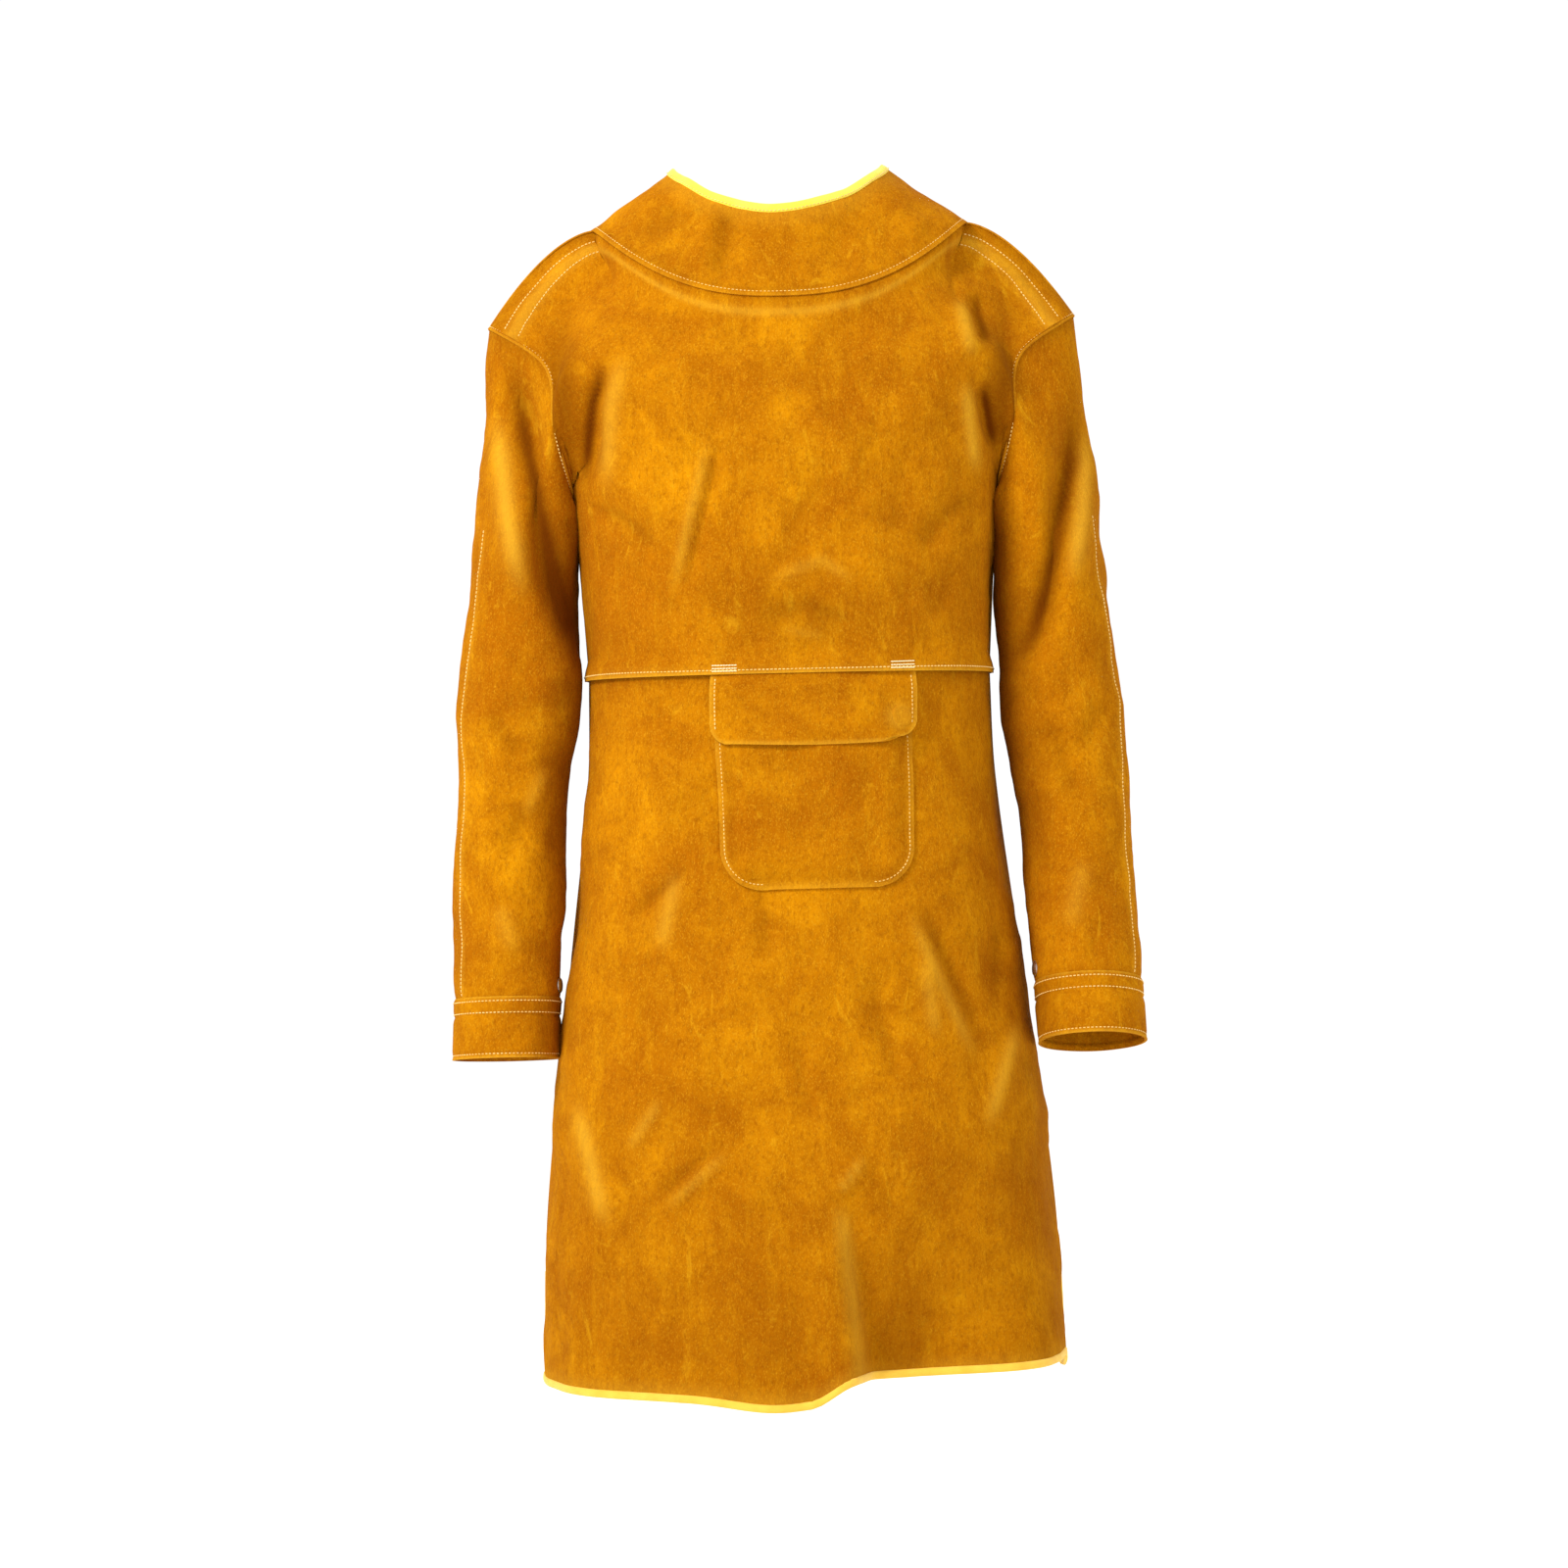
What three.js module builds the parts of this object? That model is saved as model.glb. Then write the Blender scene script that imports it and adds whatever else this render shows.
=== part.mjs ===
// A knee-length split-leather welding coat that hangs as if worn, closed in front and open down the back.
// Millimetres. +Z is up and -Y is the closed front. Left is -X and right is +X, as seen from the front.
// The origin is at the middle of the neck, level with the tops of the shoulders.

import * as THREE from "three";

// ---------------------------------------------------------------- driving dimensions

const LEATHER = 2; // thickness of the split leather
const TAPE = 3.4; // thickness of a bound edge
const TAPE_WIDTH = 9;
const SEAM = 0.5; // gap between two sewn panels
const FIT = 0.3; // gap under a piece that lies on another

// Heights
const SHOULDER_TOP = 6; // where the shoulder leaves the neck
const SHOULDER_TIP = -78;
const UNDERARM = -240;
const WAIST = -394;
const HEM = -1020;
const VENT_TOP = -925; // top of the slit at the foot of each side seam
const VENT_GAP = 1; // half the width of that slit

// Neck and collar
const NECK_HALF_WIDTH = 165;
const NECK_FRONT_DEPTH = 105;
const NECK_BACK_DEPTH = 95;
const NECK_FRONT_DROP = 73;
const NECK_BACK_DROP = 11;
const COLLAR_LIFT = 2.05; // keeps the collar's foot off the rim of the bodice
const COLLAR_END = 104; // half the turn of the collar, in degrees from the front
const COLLAR_TOP_HALF_WIDTH = 93;
const COLLAR_TOP_FRONT_DEPTH = 77;
const COLLAR_TOP_BACK_DEPTH = 72;
const COLLAR_TOP = profile([[0, 16], [35, 28], [60, 46], [90, 60], [104, 58]]);

// Body: half widths and half depths against height
const ROUNDNESS = 2.4; // exponent of the body's rounded-box section
const SHOULDER_HALF_WIDTH = 261;
const SHOULDER_CURVE = 1.7; // how late the shoulder line drops towards its tip
const SHOULDER_GAP = 1.2; // from the shoulder line to the middle of each leather that meets there
const BODICE_HALF_WIDTH = profile([
  [SHOULDER_TIP, SHOULDER_HALF_WIDTH], [-118, 209], [-180, 202], [UNDERARM, 189], [-300, 184], [WAIST, 178],
]);
const BODICE_FRONT = profile([[SHOULDER_TIP, 118], [-150, 125], [UNDERARM, 132], [WAIST, 134]]);
const BODICE_BACK = profile([[SHOULDER_TIP, 100], [-150, 112], [UNDERARM, 118], [WAIST, 112]]);
const SKIRT_HALF_WIDTH = profile([[WAIST, 178], [-487, 181], [-640, 199], [-871, 226], [HEM, 231]]);
const SKIRT_FRONT = profile([[WAIST, 134], [-640, 150], [HEM, 178]]);
const SKIRT_BACK = profile([[WAIST, 112], [-640, 132], [HEM, 160]]);
const ARMHOLE_HALF_DEPTH = 62;

// Back opening: each half folds about a straight line just behind the leather
const FOLD_TOP = new THREE.Vector3(118, 100, 50);
const FOLD_FOOT = new THREE.Vector3(140, 146, HEM);
const FOLD_GAP = 0.4; // from the fold line to each of the two leathers beside it
const OPENING = 3; // half the gap between the two bound edges

// Sleeves
const SLEEVE_JOIN = 2.8; // from the armhole's edge to the sleeve's edge
const SLEEVE_LEVEL = -300; // below this the sleeve's sections are level
const ELBOW = new THREE.Vector3(249, 6, -430);
const ELBOW_HALF_WIDTH = 51;
const ELBOW_HALF_DEPTH = 62;
const ELBOW_FLEX = 61; // degrees that the cut in front of the elbow leaves room for
const ARMS = { left: { side: -1, tilt: 6 }, right: { side: 1, tilt: 14 } }; // forward tilt of each forearm
const FOREARM = 252; // from the elbow to the cuff
const FOREARM_LEAN = 0.035; // outward run for each unit down the forearm
const CUFF = 53;
const CUFF_HALF_WIDTH = 45;
const CUFF_HALF_DEPTH = 47;
const CUFF_LEATHER = 2.6; // the cuff's doubled leather
const SLEEVE_HALF_WIDTH = profile([[0, ELBOW_HALF_WIDTH], [80, 49], [160, 49], [FOREARM, CUFF_HALF_WIDTH]]);
const SLEEVE_HALF_DEPTH = profile([[0, ELBOW_HALF_DEPTH], [160, 54], [FOREARM, CUFF_HALF_DEPTH]]);

// Pocket and its flap
const POCKET_X = 20;
const POCKET_TOP = WAIST - 20;
const POCKET_FOOT = -584;
const POCKET_HALF_WIDTH = 86;
const POCKET_TAPER = 4;
const POCKET_CORNER = 35;
const POCKET_ROOM = 9.5; // room inside the pocket at its middle
const POCKET_SLOPE = 14; // how far in from its stitched edge the pocket reaches its full room
const FLAP_TOP = WAIST - 4;
const FLAP_LENGTH = 60;
const FLAP_HALF_WIDTH = 88;
const FLAP_CORNER = 16;
const FLAP_SNAP_X = POCKET_X + 70;
const FLAP_SNAP_Z = -437;

// Snap fasteners
const CAP_RADIUS = 7;
const CAP_HEIGHT = 2.4;
const STUD_RADIUS = 5;
const STUD_HEIGHT = 1.8;
const STUD_ROOM = STUD_HEIGHT + 2 * FIT;
const VENT_SNAP_TURN = 170; // degrees round the sleeve of the snap beside the cuff's slit
const VENT_SNAP_RISE = 12; // above the cuff

// Tabs
const TAB_LENGTH = 64;
const TAB_HEIGHT = 28;
const TAB_FOOT = 10;
const TAB_SNAP_INSET = 11; // from the tab's free end to its snap
const NECK_TAB_DROP = 0.11; // share of the bodice from the neck down to the tab's middle
const WAIST_TAB_DROP = 0.93;
const CUFF_TAB_HEIGHT = 26;
const CUFF_TAB_FROM = 300; // degrees round the cuff: 0 is outwards and 90 is forwards
const CUFF_TAB_TO = 236;
const CUFF_TAB_FOOT = 0.15; // share of the cuff tab that is sewn down
const CUFF_SNAP_SHARE = 0.78; // share of the cuff tab's length from its foot to its snap

// ---------------------------------------------------------------- helpers

const rad = THREE.MathUtils.degToRad;
const mix = THREE.MathUtils.lerp;

// A smooth curve through [place, value] pairs, as a function of place.
function profile(knots) {
  const slopes = knots.map((_, i) => {
    const [x0, y0] = knots[Math.max(i - 1, 0)];
    const [x1, y1] = knots[Math.min(i + 1, knots.length - 1)];
    return (y1 - y0) / (x1 - x0);
  });
  const sign = Math.sign(knots[1][0] - knots[0][0]);
  return (x) => {
    let i = 0;
    while (i < knots.length - 2 && (x - knots[i + 1][0]) * sign > 0) i += 1;
    const span = knots[i + 1][0] - knots[i][0];
    const t = THREE.MathUtils.clamp((x - knots[i][0]) / span, 0, 1);
    const start = (1 + 2 * t) * (1 - t) ** 2 * knots[i][1] + t * (1 - t) ** 2 * span * slopes[i];
    const end = t * t * (3 - 2 * t) * knots[i + 1][1] + t * t * (t - 1) * span * slopes[i + 1];
    return start + end;
  };
}

function steps(count) {
  return Array.from({ length: count + 1 }, (_, i) => i / count);
}

// A leather sheet: the surface (u, v) => point, given thickness about its middle. A closed sheet joins u = 0
// to u = 1, and flip turns the winding of a mirrored surface.
function sheet(surface, { across, down, thickness = LEATHER, closed = false, flip = false }) {
  const us = typeof across === "number" ? steps(across) : across;
  const vs = typeof down === "number" ? steps(down) : down;
  const columns = closed ? us.length - 1 : us.length;
  const outer = [];
  const inner = [];
  const e = 1e-3;
  for (let i = 0; i < columns; i += 1) {
    for (const v of vs) {
      const u = us[i];
      const [u0, u1] = closed ? [u - e, u + e] : [Math.max(0, u - e), Math.min(1, u + e)];
      const alongU = surface(u1, v).sub(surface(u0, v));
      const alongV = surface(u, Math.min(1, v + e)).sub(surface(u, Math.max(0, v - e)));
      const normal = alongV.cross(alongU).normalize();
      if (flip) normal.negate();
      const middle = surface(u, v);
      outer.push(middle.clone().addScaledVector(normal, thickness / 2));
      inner.push(middle.clone().addScaledVector(normal, -thickness / 2));
    }
  }
  const rows = vs.length;
  const faces = [];
  const at = (i, j, layer) => (i % columns) * rows + j + layer * outer.length;
  const quad = (a, b, c, d) => faces.push(a, b, c, a, c, d);
  const spans = closed ? columns : columns - 1;
  for (let i = 0; i < spans; i += 1) {
    for (let j = 0; j < rows - 1; j += 1) {
      quad(at(i, j, 0), at(i, j + 1, 0), at(i + 1, j + 1, 0), at(i + 1, j, 0));
      quad(at(i, j, 1), at(i + 1, j, 1), at(i + 1, j + 1, 1), at(i, j + 1, 1));
    }
    quad(at(i, 0, 0), at(i + 1, 0, 0), at(i + 1, 0, 1), at(i, 0, 1));
    quad(at(i, rows - 1, 0), at(i, rows - 1, 1), at(i + 1, rows - 1, 1), at(i + 1, rows - 1, 0));
  }
  if (!closed) {
    for (let j = 0; j < rows - 1; j += 1) {
      quad(at(0, j, 0), at(0, j, 1), at(0, j + 1, 1), at(0, j + 1, 0));
      const last = columns - 1;
      quad(at(last, j, 0), at(last, j + 1, 0), at(last, j + 1, 1), at(last, j, 1));
    }
  }
  return solid([...outer, ...inner], faces);
}

// A geometry from points and faces, turned to face out.
function solid(points, faces) {
  let volume = 0;
  for (let i = 0; i < faces.length; i += 3) {
    const [a, b, c] = [points[faces[i]], points[faces[i + 1]], points[faces[i + 2]]];
    volume += a.dot(b.clone().cross(c));
  }
  const index = volume < 0 ? [...faces].reverse() : faces;
  const geometry = new THREE.BufferGeometry().setFromPoints(points);
  geometry.setIndex(index);
  geometry.computeVertexNormals();
  return geometry;
}

const coat = new THREE.Group();
const leather = { color: 0xc98a1c, roughness: 0.93, metalness: 0 };
const yellow = { color: 0xf6c832, roughness: 0.75, metalness: 0 };
const metal = { color: 0xb9bcc0, roughness: 0.32, metalness: 1 };

function add(name, geometry, look) {
  const mesh = new THREE.Mesh(geometry, new THREE.MeshStandardMaterial(look));
  mesh.name = name;
  coat.add(mesh);
  return mesh;
}

// ---------------------------------------------------------------- surfaces of the body

// Unit section of the body at an angle from the front or back, as shares of its half width and half depth.
function section(angle) {
  const power = 2 / ROUNDNESS;
  return [Math.abs(Math.sin(angle)) ** power, Math.abs(Math.cos(angle)) ** power];
}

const NECK_SHARE = 8 / 13; // share of the bodice's top edge that is neckline
const NECK_CURVE = 2.4; // how square the front neckline's scoop is
const YOKE_DEPTH = 0.5; // share of the bodice's height by which it has the body's full depth
const YOKE_WIDTH = 0.3; // and its full width
const ARMHOLE_REACH = 5; // how close to the armhole the yoke rounds over to meet its outline

function neckLine(face, angle) {
  const depth = face < 0 ? NECK_FRONT_DEPTH : NECK_BACK_DEPTH;
  const drop = face < 0 ? NECK_FRONT_DROP : NECK_BACK_DROP;
  const power = face < 0 ? NECK_CURVE : 1;
  const z = SHOULDER_TOP - drop * (1 - Math.sin(angle) ** power);
  return [NECK_HALF_WIDTH * Math.sin(angle), depth * Math.cos(angle), z];
}

const UNDERARM_SHARE = (UNDERARM - SHOULDER_TIP) / (WAIST - SHOULDER_TIP);

// Half the armhole's width at a height: its outline is an ellipse from the shoulder's tip to the underarm.
function armholeDepth(v) {
  const t = THREE.MathUtils.clamp(v / UNDERARM_SHARE, 0, 1);
  return 2 * ARMHOLE_HALF_DEPTH * Math.sqrt(t * (1 - t));
}

// Rows of the bodice, from 0 at its top to 1 at the waist, that follow the armhole's outline.
const ARMHOLE_STEPS = 14;
const armholeRows = steps(ARMHOLE_STEPS).map((t) => UNDERARM_SHARE * (1 - Math.cos(Math.PI * t)) / 2);
const bodiceRows = [...armholeRows, 0.65, 0.8, 1];

// The bodice: face is -1 for the front and 1 for the back, q runs from -1 to 1 across it, and v from 0 at the
// neck and shoulders to 1 at the waist.
function bodice(face, q, v) {
  const s = Math.min(1, Math.abs(q));
  let top;
  if (s < NECK_SHARE) {
    top = neckLine(face, rad((90 * s) / NECK_SHARE));
  } else {
    const k = (s - NECK_SHARE) / (1 - NECK_SHARE);
    const drop = (SHOULDER_TOP - SHOULDER_TIP) * k ** SHOULDER_CURVE;
    top = [mix(NECK_HALF_WIDTH, SHOULDER_HALF_WIDTH, k), 0, SHOULDER_TOP - drop];
  }
  const edge = mix(SHOULDER_TIP, WAIST, v);
  const [wide, deep] = section(rad(90 * s));
  const hole = armholeDepth(v);
  const depth = (face < 0 ? BODICE_FRONT : BODICE_BACK)(edge);
  // The yoke passes from the neckline's outline to the body's section over the upper part of the bodice.
  const early = Math.min(1, v / YOKE_DEPTH);
  const spread = 1 - (1 - early) ** 2;
  const clear = mix(SHOULDER_GAP, SEAM / 2, early);
  const widened = Math.min(1, v / YOKE_WIDTH);
  const x = BODICE_HALF_WIDTH(edge) * mix(top[0] / SHOULDER_HALF_WIDTH, wide, widened);
  const atArmhole = mix(spread, 1, s ** ARMHOLE_REACH);
  const y = mix(top[1], (depth - hole) * deep, spread) + hole * atArmhole + clear;
  return new THREE.Vector3(Math.sign(q) * x, face * y, mix(top[2], WAIST + SEAM / 2, v));
}

// The skirt: q as on the bodice, z from the waist to the hem.
function skirt(face, q, z) {
  const [wide, deep] = section(rad(90 * Math.min(1, Math.abs(q))));
  const depth = (face < 0 ? SKIRT_FRONT : SKIRT_BACK)(z);
  const x = SKIRT_HALF_WIDTH(z) * wide;
  return new THREE.Vector3(Math.sign(q) * x, face * (depth * deep + SEAM / 2), z);
}

// The place across a panel, from 0 to 1, where its surface is x from the middle.
function acrossAt(surface, x) {
  let low = 0;
  let high = 1;
  for (let i = 0; i < 30; i += 1) {
    const middle = (low + high) / 2;
    if (surface(middle).x < x) low = middle;
    else high = middle;
  }
  return high;
}

// How far from the middle the back's fold line is at a height.
function foldAt(z) {
  const t = (z - FOLD_TOP.z) / (FOLD_FOOT.z - FOLD_TOP.z);
  return mix(FOLD_TOP.x, FOLD_FOOT.x, t);
}

const NECK_TAPE_SHARE = 0.033; // share of the bodice's height that the back neckline's tape covers
const NECK_TAPE_GAP = 0.0015; // share of it between the tape and the leather
const NECK_TAPE_END = 0.575; // place across the back by which that tape has ended
const bodiceHeight = (v) => mix(-5, WAIST, v);
const skirtRow = (v, foot) => mix(WAIST - SEAM / 2, foot, v);
const tapeTop = HEM + TAPE_WIDTH + FIT; // where the leather ends above the hem tape

// ---------------------------------------------------------------- front panels

const frontBodice = (u, v) => bodice(-1, mix(-1, 1, u), v);
add("front_bodice", sheet(frontBodice, { across: 26, down: bodiceRows }), leather);

// The place across the skirt that is a distance in from its side seam.
function besideSeam(face, z, inset) {
  const depth = (face < 0 ? SKIRT_FRONT : SKIRT_BACK)(z);
  return THREE.MathUtils.radToDeg(Math.acos((inset / depth) ** (ROUNDNESS / 2))) / 90;
}

// The leather's side edges step in below the vent's top, to leave room for the vent's tape.
function skirtEdge(face, z) {
  return z < VENT_TOP ? besideSeam(face, z, VENT_GAP + TAPE_WIDTH + FIT) : 1;
}

const ventShare = (VENT_TOP - WAIST) / (tapeTop - WAIST);
const ventStep = 2.5 / (WAIST - tapeTop); // half the height over which the leather steps in
const skirtRows = [...steps(6).map((t) => t * (ventShare - ventStep)), ventShare + ventStep, 1];

add(
  "front_skirt",
  sheet((u, v) => {
    const z = skirtRow(v, tapeTop);
    return skirt(-1, mix(-1, 1, u) * skirtEdge(-1, z), z);
  }, { across: 26, down: skirtRows }),
  leather,
);

// ---------------------------------------------------------------- back panels

const SIDES = [{ name: "left", side: -1 }, { name: "right", side: 1 }];

for (const { name, side } of SIDES) {
  // A stretch of the back between two distances from the middle.
  const backBodice = (from, to) => (u, v) => {
    const row = (q) => bodice(1, q, v);
    const start = acrossAt(row, from(bodiceHeight(v)));
    const end = to ? acrossAt(row, to(bodiceHeight(v))) : 1;
    return bodice(1, side * mix(start, end, u), v);
  };
  const backSkirt = (from, to, top, foot) => (u, v) => {
    const z = mix(top, foot, v);
    const row = (q) => skirt(1, q, z);
    const start = acrossAt(row, from(z));
    const end = to ? acrossAt(row, to(z)) : skirtEdge(1, z);
    return skirt(1, side * mix(start, end, u), z);
  };
  const middle = () => OPENING;
  const edge = () => OPENING + TAPE_WIDTH + FIT;
  const foldIn = (z) => foldAt(z) - FOLD_GAP;
  const foldOut = (z) => foldAt(z) + FOLD_GAP;
  // The leather starts below the neckline's tape, and beside it at the shoulder seam.
  const backLeather = (from, to) => {
    const surface = backBodice(from, to);
    return (u, v) => {
      const q = acrossAt((place) => bodice(1, place, 0), Math.abs(surface(u, 0).x));
      const bare = 1 - THREE.MathUtils.smoothstep(q, NECK_TAPE_END, NECK_TAPE_END + 0.065);
      return surface(u, mix(bare * (NECK_TAPE_SHARE + NECK_TAPE_GAP), 1, v));
    };
  };
  const flip = side > 0;

  const sideLeather = sheet(backLeather(foldOut), { across: 10, down: bodiceRows, flip });
  add(`side_back_bodice_${name}`, sideLeather, leather);
  add(
    `side_back_skirt_${name}`,
    sheet(backSkirt(foldOut, null, WAIST - SEAM / 2, tapeTop), { across: 6, down: skirtRows, flip }),
    leather,
  );
  const halfLeather = sheet(backLeather(edge, foldIn), { across: 7, down: bodiceRows, flip });
  add(`back_bodice_${name}`, halfLeather, leather);
  add(
    `back_skirt_${name}`,
    sheet(backSkirt(edge, foldIn, WAIST - SEAM / 2, tapeTop), { across: 7, down: 6, flip }),
    leather,
  );

  // Tape along the neckline, in the strip that the leather leaves free at the top.
  const neckStrip = (surface) => (u, v) => surface(u, v * NECK_TAPE_SHARE);
  const bound = { across: 6, down: 1, thickness: TAPE, flip };
  add(`neck_binding_back_${name}`, sheet(neckStrip(backBodice(edge, foldIn)), bound), yellow);
  const collarFoot = () => NECK_HALF_WIDTH * Math.sin(rad(COLLAR_END + 2));
  add(`neck_binding_side_${name}`, sheet(neckStrip(backBodice(foldOut, collarFoot)), bound), yellow);

  // Tape down the opening edge, over bodice and skirt in one length.
  const upper = backBodice(middle, () => OPENING + TAPE_WIDTH);
  const lower = backSkirt(middle, () => OPENING + TAPE_WIDTH, WAIST + SEAM / 2, HEM);
  const aboveWaist = 0.4; // share of the tape's steps that lie on the bodice
  const whole = (u, v) => {
    if (v < aboveWaist) return upper(u, v / aboveWaist);
    return lower(u, (v - aboveWaist) / (1 - aboveWaist));
  };
  add(
    `edge_binding_${name}`,
    sheet(whole, { across: 1, down: 20, thickness: TAPE, flip }),
    yellow,
  );
  add(
    `hem_binding_back_${name}`,
    sheet(backSkirt(edge, foldIn, HEM + TAPE_WIDTH, HEM), { across: 7, down: 1, thickness: TAPE, flip }),
    yellow,
  );
}

// ---------------------------------------------------------------- tapes of the hem and the vents

// The hem tape runs from fold to fold in three lengths: the front, and the side part of each back panel.
add(
  "hem_binding_front",
  sheet((u, v) => {
    const z = mix(HEM + TAPE_WIDTH, HEM, v);
    return skirt(-1, mix(-1, 1, u) * besideSeam(-1, z, VENT_GAP), z);
  }, { across: 26, down: 1, thickness: TAPE }),
  yellow,
);

for (const { name, side } of SIDES) {
  const flip = side > 0;
  add(
    `hem_binding_side_${name}`,
    sheet((u, v) => {
      const z = mix(HEM + TAPE_WIDTH, HEM, v);
      const start = acrossAt((q) => skirt(1, q, z), foldAt(z) + FOLD_GAP);
      return skirt(1, side * mix(start, besideSeam(1, z, VENT_GAP), u), z);
    }, { across: 6, down: 1, thickness: TAPE, flip }),
    yellow,
  );
  for (const [where, face] of [["front", -1], ["back", 1]]) {
    add(
      `vent_binding_${where}_${name}`,
      sheet((u, v) => {
        const z = mix(VENT_TOP - 3, HEM + TAPE_WIDTH + FIT, v);
        const outerEdge = besideSeam(face, z, VENT_GAP);
        const innerEdge = besideSeam(face, z, VENT_GAP + TAPE_WIDTH);
        return skirt(face, side * mix(innerEdge, outerEdge, u), z);
      }, { across: 1, down: 4, thickness: TAPE, flip: face * side > 0 }),
      yellow,
    );
  }
}

// ---------------------------------------------------------------- collar

// angle in degrees from the front, rise from 0 at the neck seam to 1 at the free edge.
function collar(angle, rise) {
  const turn = rad(Math.abs(angle));
  const front = Math.abs(angle) < 90;
  const [x, depth, z] = neckLine(front ? -1 : 1, front ? turn : Math.PI - turn);
  const topDepth = front ? COLLAR_TOP_FRONT_DEPTH : COLLAR_TOP_BACK_DEPTH;
  const y = mix(Math.abs(depth), topDepth * Math.abs(Math.cos(turn)), rise);
  return new THREE.Vector3(
    Math.sign(angle) * mix(x, COLLAR_TOP_HALF_WIDTH * Math.sin(turn), rise),
    (front ? -1 : 1) * y,
    mix(z + COLLAR_LIFT, COLLAR_TOP(Math.abs(angle)), rise),
  );
}

// The tape's width as a share of the collar's height in front, and as degrees of its turn at the ends.
const collarTape = TAPE_WIDTH / collar(0, 0).distanceTo(collar(0, 1));
const collarTapeTurn = 3.2;
const collarLeather = 1 - collarTape - FIT / 70;
add(
  "collar",
  sheet((u, v) => collar(mix(-1, 1, u) * (COLLAR_END - collarTapeTurn), v * collarLeather),
    { across: 26, down: 4, flip: true }),
  leather,
);

// The tape goes up one end of the collar, along its free edge and down the other end.
const endShare = 0.2; // share of the tape's path that each end takes
function collarEdge(u, inset) {
  const end = COLLAR_END - inset * collarTapeTurn;
  const top = 1 - inset * collarTape;
  if (u < endShare) return collar(-end, (u / endShare) * top);
  if (u > 1 - endShare) return collar(end, ((1 - u) / endShare) * top);
  return collar(mix(-end, end, (u - endShare) / (1 - 2 * endShare)), top);
}
const collarTapeSteps = [
  ...steps(3).map((t) => endShare * t),
  ...steps(26).slice(1, -1).map((t) => mix(endShare, 1 - endShare, t)),
  ...steps(3).map((t) => 1 - endShare * (1 - t)),
];
const tapeInset = 0.94; // the tape stops just short of the leather
add(
  "collar_binding",
  sheet((u, v) => collarEdge(u, tapeInset * v), {
    across: collarTapeSteps, down: 1, thickness: TAPE, flip: true,
  }),
  yellow,
);

// ---------------------------------------------------------------- sleeves, for the side that side names

const SLEEVE_OUT = profile([[SLEEVE_LEVEL, 283], [-370, 292], [ELBOW.z, ELBOW.x + ELBOW_HALF_WIDTH]]);
const SLEEVE_IN = profile([[SLEEVE_LEVEL, 191], [-370, 193], [ELBOW.z, ELBOW.x - ELBOW_HALF_WIDTH]]);
const SLEEVE_DEPTH = profile([[SLEEVE_LEVEL, 68], [ELBOW.z, ELBOW_HALF_DEPTH]]);

// The sleeve's edge at the armhole. turn is 0 at the shoulder's tip, a quarter in front, and a half at the
// underarm.
function armholeRing(turn) {
  const v = (UNDERARM_SHARE * (1 - Math.cos(turn))) / 2;
  const edge = bodice(-1, 1, v);
  const depth = Math.sin(turn) * ARMHOLE_HALF_DEPTH;
  return new THREE.Vector3(edge.x + SLEEVE_JOIN, -depth, edge.z - SLEEVE_JOIN / 2);
}

function upperSleeve(turn, z) {
  const level = (height) => {
    const x = mix(SLEEVE_IN(height), SLEEVE_OUT(height), (1 + Math.cos(turn)) / 2);
    return new THREE.Vector3(x, ELBOW.y - SLEEVE_DEPTH(height) * Math.sin(turn), height);
  };
  if (z <= SLEEVE_LEVEL) return level(z);
  const start = armholeRing(turn);
  const t = (start.z - z) / (start.z - SLEEVE_LEVEL);
  return start.lerp(level(SLEEVE_LEVEL), t).setZ(z);
}

// The forearm: down is measured along its own axis from the elbow, and its sections are square to it.
function forearm(tilt, turn, down, grow = 0) {
  const wide = SLEEVE_HALF_WIDTH(down) + grow;
  const deep = SLEEVE_HALF_DEPTH(down) + grow;
  const point = new THREE.Vector3(wide * Math.cos(turn) + down * FOREARM_LEAN, -deep * Math.sin(turn), -down);
  return point.applyAxisAngle(new THREE.Vector3(-1, 0, 0), rad(tilt)).add(ELBOW);
}

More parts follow.
